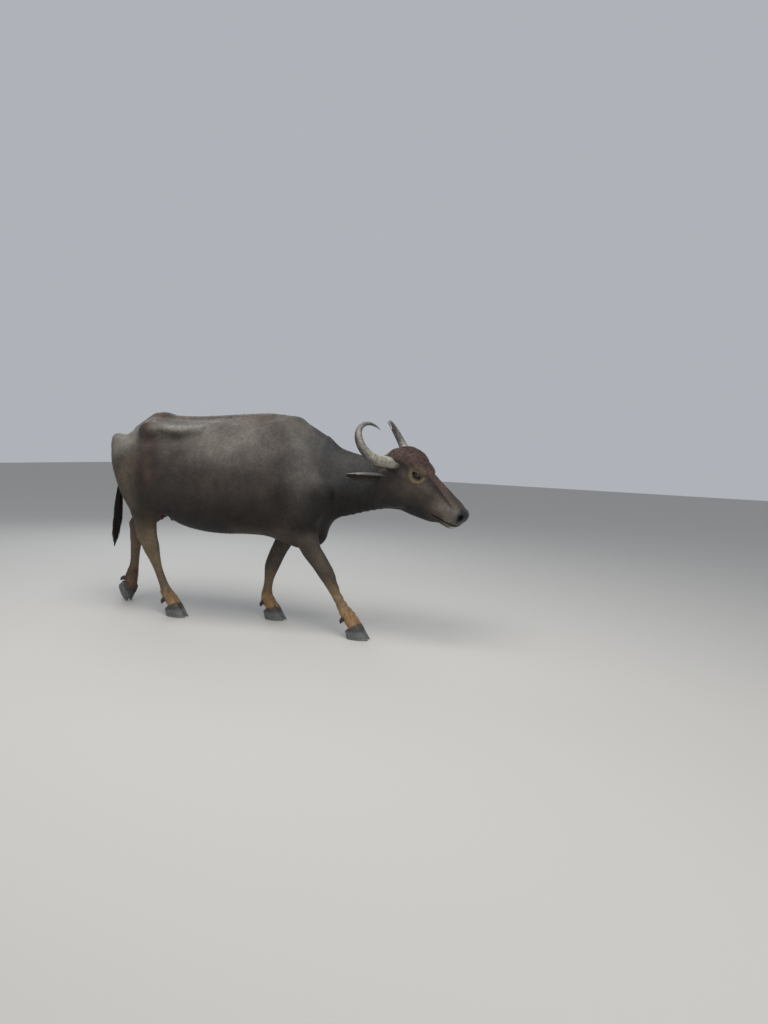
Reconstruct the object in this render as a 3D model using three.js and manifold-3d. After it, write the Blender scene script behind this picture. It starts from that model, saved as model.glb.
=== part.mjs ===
// A life-size still model of a water buffalo cow, walking, with her head low and stretched forward.
// Millimetres, +Z up. She faces +X and her left side is +Y. The floor is Z = 0, under her hooves.
//
// Her flesh is one smooth body, described by fields that are negative inside and about as large as the
// distance to the skin. It is turned into meshes region by region, and parted with thin flat cuts.
// Horns, ears, claws and the tail are swept or lofted, and set on the surface that they grow from.

import * as THREE from "three";
import { mergeVertices } from "three/addons/utils/BufferGeometryUtils.js";
import Module from "manifold-3d";

const wasm = await Module();
wasm.setup();

const { abs, cos, hypot, max, min, PI, sin, sqrt } = Math;
const radians = THREE.MathUtils.degToRad;

const gap = 0.3; // between pieces that meet face to face
const rightSide = -1;
const leftSide = 1;

// Materials, in the colours that the coat, horn and hoof have in daylight
const matter = (color, roughness) => new THREE.MeshStandardMaterial({ color, roughness, metalness: 0 });
const coatMatter = matter(0x4a423d, 0.75);
const dustyMatter = matter(0x7a5a3c, 0.8);
const hornMatter = matter(0x8d8578, 0.55);
const hoofMatter = matter(0x3b4046, 0.5);
const hairMatter = matter(0x17151a, 0.7);
const eyeMatter = matter(0x0d0a08, 0.1);
const udderMatter = matter(0x4d2f28, 0.6);

// Smooth joins and cuts of two fields, rounded over about k
function join(a, b, k) {
  const h = max(k - abs(a - b), 0) / k;
  return min(a, b) - (h * h * k) / 4;
}

const carve = (a, b, k) => -join(-a, b, k);

// A smooth curve through rows of [place, value, value, ...], sampled evenly so that it is quick to read
function tabulate(rows, samples = 160) {
  const first = rows[0][0];
  const last = rows.at(-1)[0];
  const width = rows[0].length;
  const slopes = rows.map((row, i) => {
    const before = rows[max(i - 1, 0)];
    const after = rows[min(i + 1, rows.length - 1)];
    return row.map((_, c) => (after[c] - before[c]) / (after[0] - before[0]));
  });
  const table = [];
  for (let n = 0; n <= samples; n++) {
    const s = first + ((last - first) * n) / samples;
    let i = 0;
    while (i < rows.length - 2 && s > rows[i + 1][0]) i++;
    const span = rows[i + 1][0] - rows[i][0];
    const t = (s - rows[i][0]) / span;
    const t2 = t * t;
    const t3 = t2 * t;
    const entry = [];
    for (let c = 1; c < width; c++) {
      entry.push(
        (2 * t3 - 3 * t2 + 1) * rows[i][c] +
          (t3 - 2 * t2 + t) * span * slopes[i][c] +
          (3 * t2 - 2 * t3) * rows[i + 1][c] +
          (t3 - t2) * span * slopes[i + 1][c],
      );
    }
    table.push(entry);
  }
  return (s) => {
    const place = min(max((s - first) / (last - first), 0), 1) * samples;
    const i = min(Math.floor(place), samples - 1);
    const t = place - i;
    return table[i].map((value, c) => value + (table[i + 1][c] - value) * t);
  };
}

// A long body of rounded sections. Rows are [place, top, bottom, half width, height of widest part,
// power of the upper half, power of the lower half]. A power under 2 gives a ridge, and over 2 a fuller flank.
// Each end is closed by a dome of the cap's length.
function loftField({ rows, backCap, frontCap }) {
  const section = tabulate(rows);
  const first = rows[0][0];
  const last = rows.at(-1)[0];
  return (s, y, z) => {
    const [top, bottom, wide, level, upper, lower] = section(s);
    const over = s < first ? (first - s) / backCap : s > last ? (s - last) / frontCap : 0;
    const above = z > level;
    const high = above ? top - level : level - bottom;
    const power = above ? upper : lower;
    const u = abs(y) / wide;
    const v = abs(z - level) / high;
    const around = max((u ** power + v ** power) ** (1 / power), 0.02);
    const slope = hypot((u / around) ** (power - 1) / wide, (v / around) ** (power - 1) / high);
    if (over === 0) return (around - 1) / slope;
    const whole = hypot(around, over);
    const cap = s < first ? backCap : frontCap;
    return (whole - 1) / hypot((slope * around) / whole, over / whole / cap);
  };
}

// A limb that bends along rows of [x, y, z, half depth, half width]: depth is fore and aft, width is sideways
function limbField(rows, steps = 3) {
  const place = [0];
  for (let i = 1; i < rows.length; i++) {
    place.push(place[i - 1] + hypot(...[0, 1, 2].map((c) => rows[i][c] - rows[i - 1][c])));
  }
  const read = tabulate(rows.map((row, i) => [place[i], ...row]), 200);
  const count = (rows.length - 1) * steps;
  const knots = Array.from({ length: count + 1 }, (_, i) => read((place.at(-1) * i) / count));
  const lows = [0, 1, 2].map((c) => min(...knots.map((k) => k[c] - max(k[3], k[4]))));
  const highs = [0, 1, 2].map((c) => max(...knots.map((k) => k[c] + max(k[3], k[4]))));
  const margin = 90;
  const field = (x, y, z) => {
    const outX = max(lows[0] - x, x - highs[0]);
    const outY = max(lows[1] - y, y - highs[1]);
    const outZ = max(lows[2] - z, z - highs[2]);
    const out = max(outX, outY, outZ);
    if (out > margin) return out;
    let nearest = Infinity;
    for (let i = 0; i < count; i++) {
      const [ax, ay, az, ad, aw] = knots[i];
      const [bx, by, bz, bd, bw] = knots[i + 1];
      const dx = bx - ax;
      const dy = by - ay;
      const dz = bz - az;
      const long = dx * dx + dy * dy + dz * dz;
      const t = min(max(((x - ax) * dx + (y - ay) * dy + (z - az) * dz) / long, 0), 1);
      const rx = x - ax - dx * t;
      const ry = y - ay - dy * t;
      const rz = z - az - dz * t;
      const flat = hypot(dx, dz) || 1;
      const fore = (rx * -dz + rz * dx) / flat;
      const ends = (rx * dx + rz * dz) / flat;
      const deep = ad + (bd - ad) * t;
      const wide = aw + (bw - aw) * t;
      const least = min(deep, wide);
      const k0 = hypot(fore / deep, ry / wide, ends / least);
      const k1 = hypot(fore / deep / deep, ry / wide / wide, ends / least / least) || 1e-6;
      nearest = min(nearest, (k0 * (k0 - 1)) / k1);
    }
    return nearest;
  };
  return Object.assign(field, { rows });
}

// An ellipsoid at a centre, its length turned nose down by pitch and to the left by turn, in degrees
function eggField([cx, cy, cz], [rx, ry, rz], pitch = 0, turn = 0) {
  const cp = cos(radians(pitch));
  const sp = sin(radians(pitch));
  const ct = cos(radians(turn));
  const st = sin(radians(turn));
  return (x, y, z) => {
    const dx = x - cx;
    const dy = y - cy;
    const dz = z - cz;
    const ahead = dx * ct + dy * st;
    const side = -dx * st + dy * ct;
    const a = ahead * cp - dz * sp;
    const c = ahead * sp + dz * cp;
    const k0 = hypot(a / rx, side / ry, c / rz);
    const k1 = hypot(a / rx / rx, side / ry / ry, c / rz / rz) || 1e-6;
    return (k0 * (k0 - 1)) / k1;
  };
}

// Trunk, from the rump to the chest. The cow stands 1.3 m high at the withers, which are at x = 350.
const trunk = loftField({
  backCap: 55,
  frontCap: 60,
  rows: [
    [-665, 1150, 800, 150, 1000, 1.9, 2.0],
    [-560, 1206, 725, 204, 990, 2.0, 2.0],
    [-446, 1268, 685, 238, 990, 2.1, 2.0],
    [-340, 1262, 628, 264, 950, 2.1, 2.1],
    [-220, 1258, 572, 302, 900, 2.05, 2.2],
    [-60, 1265, 545, 338, 865, 1.95, 2.25],
    [80, 1279, 541, 346, 855, 1.8, 2.25],
    [230, 1292, 549, 318, 855, 1.8, 2.2],
    [370, 1294, 545, 268, 860, 1.8, 2.1],
    [500, 1278, 512, 222, 860, 1.8, 2.0],
    [620, 1226, 512, 186, 850, 1.8, 2.0],
    [715, 1168, 590, 150, 860, 1.85, 2.0],
  ],
});

// Neck, deep and thin, from inside the shoulders to the skull
const neck = loftField({
  backCap: 80,
  frontCap: 45,
  rows: [
    [560, 1252, 720, 168, 960, 1.7, 1.9],
    [700, 1180, 662, 148, 925, 1.7, 1.9],
    [800, 1127, 692, 128, 915, 1.7, 1.9],
    [900, 1096, 716, 112, 905, 1.7, 1.9],
    [1000, 1077, 745, 102, 905, 1.7, 1.9],
    [1100, 1085, 768, 97, 920, 1.8, 1.9],
    [1160, 1108, 783, 92, 935, 1.9, 1.9],
  ],
});

// Bones and muscles that shape the trunk, for each side
function trunkForms(side) {
  const s = side;
  return {
    pin: eggField([-682, 112 * s, 1112], [40, 34, 34]),
    hook: eggField([-400, 186 * s, 1166], [74, 60, 58], 8, 10 * s),
    thurl: eggField([-545, 190 * s, 985], [90, 46, 80]),
    shelf: limbField([
      [-380, 176 * s, 1196, 16, 40],
      [-260, 196 * s, 1182, 14, 36],
      [-120, 206 * s, 1180, 12, 34],
      [-20, 200 * s, 1184, 10, 30],
    ]),
    hollow: eggField([-235, 352 * s, 1118], [120, 96, 44], 0, -6 * s),
    rumpHollow: eggField([-555, 306 * s, 1086], [110, 100, 60], 42, 18 * s),
    blade: limbField([
      [455, 92 * s, 1200, 78, 44],
      [590, 148 * s, 1020, 96, 46],
      [715, 164 * s, 860, 80, 50],
    ]),
  };
}
const rightTrunk = trunkForms(rightSide);
const leftTrunk = trunkForms(leftSide);
const spine = limbField([
  [-600, 0, 1184, 18, 34],
  [-446, 0, 1276, 22, 40],
  [-300, 0, 1252, 18, 34],
  [80, 0, 1268, 18, 34],
  [370, 0, 1282, 22, 42],
  [520, 0, 1262, 22, 44],
]);
const brisket = eggField([600, 0, 590], [140, 92, 92], 12);
const udderSwell = eggField([-352, 0, 722], [125, 98, 74]);

// Right foreleg, reaching forward, from the shoulder to the pastern
const rightFore = {
  arm: limbField([
    [748, -164, 845, 78, 50],
    [694, -176, 760, 98, 56],
    [628, -176, 690, 84, 50],
  ]),
  triceps: eggField([575, -168, 800], [135, 62, 120], 40),
  shank: limbField([
    [638, -168, 690, 92, 56],
    [672, -158, 600, 80, 54],
    [712, -148, 505, 62, 50],
    [748, -142, 456, 57, 48],
    [781, -137, 410, 53, 46],
    [810, -133, 366, 50, 45],
    [836, -129, 318, 41, 38],
    [864, -126, 265, 33, 32],
    [890, -123, 220, 31, 31],
    [922, -120, 168, 36, 35],
    [944, -118, 138, 43, 42],
    [978, -117, 98, 41, 47],
    [1004, -116, 58, 44, 52],
    [1020, -116, 30, 44, 52],
  ]),
};

// Left foreleg, leaning back under the chest
const leftFore = {
  arm: limbField([
    [730, 164, 850, 78, 50],
    [636, 174, 765, 98, 56],
    [520, 170, 700, 84, 50],
  ]),
  triceps: eggField([520, 166, 810], [135, 62, 120], 25),
  shank: limbField([
    [492, 160, 700, 92, 56],
    [448, 150, 610, 80, 54],
    [404, 138, 520, 62, 50],
    [370, 130, 450, 55, 48],
    [345, 124, 390, 53, 46],
    [326, 120, 335, 49, 45],
    [315, 117, 278, 37, 37],
    [308, 115, 225, 31, 31],
    [302, 114, 172, 35, 34],
    [305, 113, 132, 43, 42],
    [332, 112, 94, 41, 47],
    [354, 112, 56, 44, 52],
    [366, 112, 28, 44, 52],
  ]),
};

// Right hind leg, carrying weight, from the hip to the pastern
const rightHind = {
  thigh: limbField([
    [-520, -176, 1000, 122, 62],
    [-420, -200, 880, 138, 66],
    [-300, -206, 752, 84, 56],
  ]),
  ham: limbField([
    [-650, -128, 1060, 58, 52],
    [-592, -160, 930, 82, 60],
    [-535, -172, 800, 84, 54],
    [-480, -172, 690, 66, 46],
  ]),
  shank: limbField([
    [-375, -196, 745, 112, 56],
    [-418, -184, 640, 88, 52],
    [-414, -170, 550, 68, 44],
    [-404, -158, 478, 60, 41],
    [-394, -151, 430, 58, 42],
    [-374, -144, 370, 42, 36],
    [-352, -139, 305, 30, 30],
    [-334, -135, 257, 28, 28],
    [-308, -131, 195, 30, 30],
    [-282, -127, 138, 39, 40],
    [-246, -124, 96, 40, 45],
    [-220, -123, 56, 42, 50],
    [-206, -123, 28, 42, 50],
  ]),
  heel: limbField([
    [-500, -174, 640, 30, 26],
    [-492, -166, 560, 18, 17],
    [-466, -158, 486, 24, 24],
    [-420, -154, 440, 26, 28],
  ]),
};

// Left hind leg, stretched back, with only its toe tips on the floor
const leftHind = {
  thigh: limbField([
    [-520, 176, 1000, 122, 62],
    [-470, 200, 870, 132, 66],
    [-412, 206, 735, 84, 56],
  ]),
  ham: limbField([
    [-650, 128, 1060, 58, 52],
    [-625, 160, 930, 80, 60],
    [-612, 172, 800, 80, 54],
    [-590, 172, 700, 62, 46],
  ]),
  shank: limbField([
    [-465, 196, 745, 110, 56],
    [-555, 186, 660, 84, 52],
    [-640, 170, 580, 64, 44],
    [-700, 158, 515, 58, 41],
    [-716, 150, 468, 55, 42],
    [-719, 143, 405, 42, 36],
    [-720, 137, 335, 35, 31],
    [-721, 133, 265, 33, 30],
    [-728, 129, 210, 39, 36],
    [-738, 127, 172, 46, 42],
    [-742, 126, 134, 44, 46],
    [-746, 125, 100, 46, 50],
    [-752, 125, 70, 46, 50],
  ]),
  heel: limbField([
    [-640, 176, 680, 30, 26],
    [-715, 168, 608, 18, 17],
    [-766, 160, 532, 24, 24],
    [-738, 155, 480, 26, 28],
  ]),
};

// The head has its own frame: u runs from the skull to the muzzle, v up to the forehead, y to the left.
// It hangs down by headPitch, turns to the right by headTurn and leans to the right by headLean.
const headOrigin = new THREE.Vector3(1190, -8, 955);
const headPitch = radians(29);
const headTurn = radians(-8);
const headLean = radians(4);
const headMatrix = new THREE.Matrix4()
  .makeTranslation(headOrigin)
  .multiply(new THREE.Matrix4().makeRotationZ(headTurn))
  .multiply(new THREE.Matrix4().makeRotationX(headLean))
  .multiply(new THREE.Matrix4().makeRotationY(headPitch));
const headInverse = headMatrix.clone().invert().elements;

// Face and skull, in the head's frame
const face = loftField({
  backCap: 30,
  frontCap: 26,
  rows: [
    [-95, 140, -90, 86, 60, 2.3, 1.9],
    [-40, 184, -150, 98, 70, 2.5, 1.8],
    [20, 195, -160, 103, 85, 2.6, 1.75],
    [63, 192, -160, 104, 92, 2.5, 1.75],
    [102, 176, -154, 104, 88, 2.3, 1.75],
    [158, 147, -145, 88, 55, 2.1, 1.9],
    [223, 131, -130, 71, 35, 2.0, 2.0],
    [296, 115, -109, 62, 15, 2.0, 2.1],
    [345, 102, -84, 62, 8, 2.1, 2.2],
    [400, 87, -66, 68, 10, 2.3, 2.4],
    [440, 70, -50, 66, 12, 2.4, 2.4],
  ],
});
const eyeRadius = 24;
const eyePlace = [116, 77, 104]; // u, half distance apart, v
const eyeHalfLength = 25;
const eyeHalfHeight = 14;
const eyeSlant = 14;
const lidThickness = 4.5;
const nostrilPlace = [434, 46, 30];
function faceForms(side) {
  const s = side;
  return {
    brow: eggField([104, 78 * s, 140], [54, 24, 18], 16, -10 * s),
    cheekBone: limbField([
      [70, 84 * s, 62, 15, 15],
      [140, 80 * s, 56, 16, 14],
      [230, 58 * s, 38, 13, 10],
    ]),
    jaw: eggField([40, 66 * s, -62], [98, 34, 82], -6),
    nostrilWing: eggField([436, 46 * s, 30], [30, 20, 30], -20),
    lip: eggField([404, 44 * s, -22], [46, 22, 26], 6, -6 * s),
    templeHollow: eggField([30, 122 * s, 92], [40, 24, 26], 0, 0),
    hornRoot: limbField([
      [-20, 62 * s, 118, 44, 40],
      [-48, 104 * s, 106, 40, 38],
    ]),
    earRoot: limbField([
      [-30, 70 * s, 8, 34, 34],
      [-62, 104 * s, -2, 26, 26],
    ]),
  };
}
const rightFace = faceForms(rightSide);
const leftFace = faceForms(leftSide);
const chin = eggField([392, 0, -58], [48, 36, 20], 0);
const nosePad = eggField([452, 0, 30], [26, 46, 36], -12);
const forelock = eggField([12, 0, 150], [92, 84, 52], -4);

function headField(x, y, z) {
  const e = headInverse;
  const u = e[0] * x + e[4] * y + e[8] * z + e[12];
  const w = e[1] * x + e[5] * y + e[9] * z + e[13];
  const v = e[2] * x + e[6] * y + e[10] * z + e[14];
  let f = face(u, w, v);
  f = join(f, forelock(u, w, v), 40);
  for (const forms of [rightFace, leftFace]) {
    f = join(f, forms.jaw(u, w, v), 40);
    f = join(f, forms.cheekBone(u, w, v), 22);
    f = join(f, forms.hornRoot(u, w, v), 24);
    f = join(f, forms.earRoot(u, w, v), 20);
    f = join(f, forms.brow(u, w, v), 16);
    f = carve(f, forms.templeHollow(u, w, v), 26);
    f = join(f, forms.nostrilWing(u, w, v), 16);
    f = join(f, forms.lip(u, w, v), 18);
  }
  f = join(f, nosePad(u, w, v), 16);
  f = join(f, chin(u, w, v), 22);
  return f;
}

function trunkField(x, y, z) {
  let f = trunk(x, y, z);
  f = join(f, spine(x, y, z), 50);
  f = join(f, brisket(x, y, z), 60);
  const forms = y < 0 ? rightTrunk : leftTrunk;
  f = carve(f, forms.hollow(x, y, z), 60);
  f = join(f, forms.shelf(x, y, z), 34);
  f = carve(f, forms.rumpHollow(x, y, z), 80);
  f = join(f, forms.hook(x, y, z), 40);
  f = join(f, forms.pin(x, y, z), 40);
  f = join(f, forms.thurl(x, y, z), 60);
  f = join(f, forms.blade(x, y, z), 90);
  return f;
}

function legsField(x, y, z) {
  let f = Infinity;
  if (x > 200) {
    const leg = y < 0 ? rightFore : leftFore;
    f = join(leg.arm(x, y, z), leg.triceps(x, y, z), 50);
    f = join(f, leg.shank(x, y, z), 40);
  } else {
    const leg = y < 0 ? rightHind : leftHind;
    f = join(leg.thigh(x, y, z), leg.ham(x, y, z), 50);
    f = join(f, leg.shank(x, y, z), 44);
    f = join(f, leg.heel(x, y, z), 16);
  }
  return f;
}

function fleshField(x, y, z) {
  let f = x < 1000 ? trunkField(x, y, z) : Infinity;
  if (x > 420) f = join(f, neck(x, y, z), 90);
  if (x < 1060) f = join(f, legsField(x, y, z), 70);
  if (x > 980) f = join(f, headField(x, y, z), 50);
  return f;
}

// Evenly spaced grid lines between two places, about a step apart
function lines(from, to, step) {
  const count = Math.ceil((to - from) / step);
  return Array.from({ length: count + 1 }, (_, i) => from + ((to - from) * i) / count);
}

// Turns a field into a closed mesh on a grid, with one vertex to each cell that the surface crosses,
// set on the surface along the field's slope. The grid may lie in a turned frame.
function meshField(field, [xs, ys, zs], frame = new THREE.Matrix4()) {
  const [nx, ny, nz] = [xs.length, ys.length, zs.length];
  const point = new THREE.Vector3();
  const at = (x, y, z) => {
    point.set(x, y, z).applyMatrix4(frame);
    return field(point.x, point.y, point.z);
  };
  const values = new Float64Array(nx * ny * nz);
  const id = (i, j, k) => (i * ny + j) * nz + k;
  for (let i = 0; i < nx; i++) {
    for (let j = 0; j < ny; j++) {
      for (let k = 0; k < nz; k++) {
        const edge = i === 0 || j === 0 || k === 0 || i === nx - 1 || j === ny - 1 || k === nz - 1;
        const value = at(xs[i], ys[j], zs[k]);
        values[id(i, j, k)] = edge ? max(value, 1) : value || 1e-6;
      }
    }
  }
  const spots = [];
  const reach = [];
  const spotOf = new Int32Array(nx * ny * nz).fill(-1);
  const corners = [0, 1, 2, 3, 4, 5, 6, 7].map((c) => [c & 1, (c >> 1) & 1, c >> 2]);
  const edges = [];
  corners.forEach((a, i) => {
    corners.forEach((b, j) => {
      if (i < j && abs(a[0] - b[0]) + abs(a[1] - b[1]) + abs(a[2] - b[2]) === 1) edges.push([i, j]);
    });
  });
  for (let i = 0; i < nx - 1; i++) {
    for (let j = 0; j < ny - 1; j++) {
      for (let k = 0; k < nz - 1; k++) {
        const v = corners.map(([a, b, c]) => values[id(i + a, j + b, k + c)]);
        const inside = v.filter((value) => value < 0).length;
        if (inside === 0 || inside === 8) continue;
        const sum = [0, 0, 0];
        let crossings = 0;
        for (const [a, b] of edges) {
          if (v[a] < 0 === v[b] < 0) continue;
          const t = v[a] / (v[a] - v[b]);
          for (let c = 0; c < 3; c++) sum[c] += corners[a][c] + (corners[b][c] - corners[a][c]) * t;
          crossings++;
        }
        const [fx, fy, fz] = sum.map((value) => value / crossings);
        const spot = [
          xs[i] + (xs[i + 1] - xs[i]) * fx,
          ys[j] + (ys[j + 1] - ys[j]) * fy,
          zs[k] + (zs[k + 1] - zs[k]) * fz,
        ];
        const rim = i === 0 || j === 0 || k === 0 || i === nx - 2 || j === ny - 2 || k === nz - 2;
        const cell = min(xs[i + 1] - xs[i], ys[j + 1] - ys[j], zs[k + 1] - zs[k]);
        spotOf[id(i, j, k)] = spots.length;
        spots.push(spot);
        reach.push(rim ? 0 : 0.45 * cell);
      }
    }
  }
  const triangles = [];
  const quad = (a, b, c, d, flip) => {
    const near = (p, q) => hypot(...[0, 1, 2].map((n) => spots[p][n] - spots[q][n]));
    const ring = flip ? [d, c, b, a] : [a, b, c, d];
    if (near(ring[0], ring[2]) <= near(ring[1], ring[3])) {
      triangles.push(ring[0], ring[1], ring[2], ring[0], ring[2], ring[3]);
    } else {
      triangles.push(ring[1], ring[2], ring[3], ring[1], ring[3], ring[0]);
    }
  };
  const spotAt = (i, j, k) => spotOf[id(i, j, k)];
  for (let i = 0; i < nx - 1; i++) {
    for (let j = 0; j < ny - 1; j++) {
      for (let k = 0; k < nz - 1; k++) {
        const here = values[id(i, j, k)] < 0;
        if (j > 0 && k > 0 && here !== values[id(i + 1, j, k)] < 0) {
          quad(spotAt(i, j - 1, k - 1), spotAt(i, j, k - 1), spotAt(i, j, k), spotAt(i, j - 1, k), !here);
        }
        if (i > 0 && k > 0 && here !== values[id(i, j + 1, k)] < 0) {
          quad(spotAt(i - 1, j, k - 1), spotAt(i - 1, j, k), spotAt(i, j, k), spotAt(i, j, k - 1), !here);
        }
        if (i > 0 && j > 0 && here !== values[id(i, j, k + 1)] < 0) {
          quad(spotAt(i - 1, j - 1, k), spotAt(i, j - 1, k), spotAt(i, j, k), spotAt(i - 1, j, k), !here);
        }
      }
    }
  }
  settleAll(at, spots, reach, triangles);
  const geometry = new THREE.BufferGeometry();
  geometry.setAttribute("position", new THREE.Float32BufferAttribute(spots.flat(), 3));
  geometry.setIndex(triangles);
  geometry.applyMatrix4(frame);
  return geometry;
}

// Sets every spot on the surface, and evens out the spots between their neighbours
function settleAll(at, spots, reach, triangles, passes = 4) {
  const neighbours = spots.map(() => new Set());
  triangles.forEach((a, i) => {
    const b = triangles[i % 3 === 2 ? i - 2 : i + 1];
    neighbours[a].add(b);
    neighbours[b].add(a);
  });
  for (let pass = 0; pass <= passes; pass++) {
    const even = spots.map((spot, i) => {
      const near = [...neighbours[i]];
      const middle = (c) => near.reduce((sum, n) => sum + spots[n][c], 0) / near.length;
      return spot.map((value, c) => value + 0.6 * (middle(c) - value));
    });
    spots.forEach((spot, i) => {
      if (reach[i] === 0) return;
      if (pass > 0) even[i].forEach((value, c) => (spot[c] = value));
      settle(at, spot, reach[i]);
    });
  }
}

// Moves a spot onto the surface, by no more than its reach
function settle(at, spot, most) {
  const start = [...spot];
  const e = 1;
  for (let turn = 0; turn < 2; turn++) {
    const f = at(...spot);
    const slope = [0, 1, 2].map((c) => {
      const ahead = [...spot];
      const behind = [...spot];
      ahead[c] += e;
      behind[c] -= e;
      return (at(...ahead) - at(...behind)) / (2 * e);
    });
    const steep = slope[0] ** 2 + slope[1] ** 2 + slope[2] ** 2;
    if (steep < 0.01) return;
    for (let c = 0; c < 3; c++) {
      const moved = spot[c] - (0.9 * f * slope[c]) / steep;
      spot[c] = min(max(moved, start[c] - most), start[c] + most);
    }
  }
}

// Geometry to solid, and back
function solid(geometry) {
  const bare = geometry.clone();
  bare.deleteAttribute("normal");
  bare.deleteAttribute("uv");
  const merged = mergeVertices(bare, 1e-3);
  return new wasm.Manifold(
    new wasm.Mesh({
      numProp: 3,
      vertProperties: new Float32Array(merged.attributes.position.array),
      triVerts: new Uint32Array(merged.index.array),
    }),
  );
}

function piece(name, body, matter) {
  const largest = body.decompose().sort((a, b) => b.volume() - a.volume())[0];
  const mesh = largest.getMesh();
  const geometry = new THREE.BufferGeometry();
  geometry.setAttribute("position", new THREE.BufferAttribute(mesh.vertProperties, 3));
  geometry.setIndex(new THREE.BufferAttribute(mesh.triVerts, 1));
  geometry.computeVertexNormals();
  const made = new THREE.Mesh(geometry, matter);
  made.name = name;
  return made;
}

// Keeps the side of a plane that the direction points to. The plane goes through a place, moved by shift.
function keepSide(body, place, direction, shift = 0) {
  const way = new THREE.Vector3(...direction).normalize();
  const offset = way.dot(new THREE.Vector3(...place)) + shift;
  return body.trimByPlane(way.toArray(), offset);
}

// A closed tube along points, with half sizes across and up at each of them and a number of sides.
// The first section's upward direction is given, and is carried along without twisting.
function sweep(points, across, up, sides, upward) {
  const rings = [];
  let lift = upward.clone();
  points.forEach((p, i) => {
    const before = points[max(i - 1, 0)];
    const after = points[min(i + 1, points.length - 1)];
    const ahead = after.clone().sub(before).normalize();
    lift = lift.clone().addScaledVector(ahead, -lift.dot(ahead)).normalize();
    const side = new THREE.Vector3().crossVectors(ahead, lift);
    rings.push(
      Array.from({ length: sides }, (_, n) => {
        const a = (2 * PI * n) / sides;
        return p
          .clone()
          .addScaledVector(side, across[i] * cos(a))
          .addScaledVector(lift, up[i] * sin(a));
      }),
    );
  });
  return closeRings(rings, points[0], points.at(-1));
}

// A closed mesh from rings of equal size, with a point at the middle of each end
function closeRings(rings, first, last) {
  const sides = rings[0].length;
  const spots = [...rings.flat(), first, last];
  const start = spots.length - 2;
  const end = spots.length - 1;
  const triangles = [];
  rings.slice(1).forEach((_, i) => {
    for (let n = 0; n < sides; n++) {
      const a = i * sides + n;
      const b = i * sides + ((n + 1) % sides);
      triangles.push(a, a + sides, b, b, a + sides, b + sides);
    }
  });
  for (let n = 0; n < sides; n++) {
    triangles.push(start, n, (n + 1) % sides);
    const row = (rings.length - 1) * sides;
    triangles.push(end, row + ((n + 1) % sides), row + n);
  }
  return outwards(spots, triangles);
}

// A solid from points and triangles, turned outwards if they face in
function outwards(spots, triangles) {
  const geometry = new THREE.BufferGeometry();
  geometry.setAttribute("position", new THREE.Float32BufferAttribute(spots.flatMap((p) => p.toArray()), 3));
  geometry.setIndex(triangles);
  const made = solid(geometry);
  if (made.volume() >= 0) return made;
  geometry.setIndex(triangles.map((_, i) => triangles[i - (i % 3) + [0, 2, 1][i % 3]]));
  return solid(geometry);
}

// The distance from a place inside a field to its surface, along a direction
function reachOf(field, from, way, limit, step = 12) {
  const at = (r) => field(from.x + way.x * r, from.y + way.y * r, from.z + way.z * r);
  let far = step;
  while (far < limit && at(far) < 0) far += step;
  if (far >= limit) return limit;
  let near = far - step;
  for (let turn = 0; turn < 9; turn++) {
    const middle = (near + far) / 2;
    if (at(middle) < 0) near = middle;
    else far = middle;
  }
  return far;
}

// The stretch of a field round a path, as rings on its surface. A deep shape takes more points at its
// top and bottom.
function castRings(field, points, sides, limit, deep = 1) {
  const rings = points.map((p, i) => {
    const before = points[max(i - 1, 0)];
    const after = points[min(i + 1, points.length - 1)];
    const ahead = after.clone().sub(before).normalize();
    const side = vector(0, 1, 0).addScaledVector(ahead, -ahead.y).normalize();
    const lift = new THREE.Vector3().crossVectors(ahead, side);
    return Array.from({ length: sides }, (_, n) => {
      const a = (2 * PI * (n + 0.5)) / sides;
      const way = lift.clone().multiplyScalar(deep * cos(a)).addScaledVector(side, sin(a)).normalize();
      return p.clone().addScaledVector(way, reachOf(field, p, way, limit));
    });
  });
  return closeRings(rings, points[0], points.at(-1));
}

const vector = (x, y, z) => new THREE.Vector3(x, y, z);
const inHead = (u, y, v) => vector(u, y, v).applyMatrix4(headMatrix);
const headWay = (u, y, v) => vector(u, y, v).transformDirection(headMatrix);

// Cuts: where the neck meets the trunk and the head, and the tops and middles of the legs.
// A leg lies within a tube round its limb, and on the lower and outer side of its top plane.
const neckCut = { place: [850, 0, 900], direction: [1, 0, 0.42] };
const headCut = { place: [1118, 0, 900], direction: [1, -0.1, 0.12] };
const legs = {
  fore_right: {
    side: rightSide,
    shape: rightFore,
    above: [655, -186, 790],
    top: { place: [675, -140, 622], direction: [0.1, 0.5, 0.86] },
    middle: { place: [840, -128, 312], direction: [-0.45, 0, 0.89] },
    coronet: { place: [990, -116, 66], direction: [-0.42, 0, 0.91] },
  },
  fore_left: {
    side: leftSide,
    shape: leftFore,
    above: [540, 172, 790],
    top: { place: [450, 140, 618], direction: [-0.1, -0.5, 0.86] },
    middle: { place: [316, 117, 280], direction: [0.12, 0, 0.99] },
    coronet: { place: [340, 112, 66], direction: [-0.34, 0, 0.94] },
  },
  hind_right: {
    side: rightSide,
    shape: rightHind,
    above: [-345, -204, 850],
    top: { place: [-420, -160, 668], direction: [-0.1, 0.4, 0.91] },
    middle: { place: [-376, -144, 372], direction: [-0.28, 0, 0.96] },
    coronet: { place: [-236, -123, 64], direction: [-0.38, 0, 0.92] },
  },
  hind_left: {
    side: leftSide,
    shape: leftHind,
    above: [-375, 204, 830],
    top: { place: [-520, 160, 690], direction: [0.2, -0.4, 0.89] },
    middle: { place: [-719, 143, 402], direction: [0.02, 0, 1] },
    coronet: { place: [-742, 125, 108], direction: [0.6, 0, 0.8] },
  },
};
const tubeMargin = 26;

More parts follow.
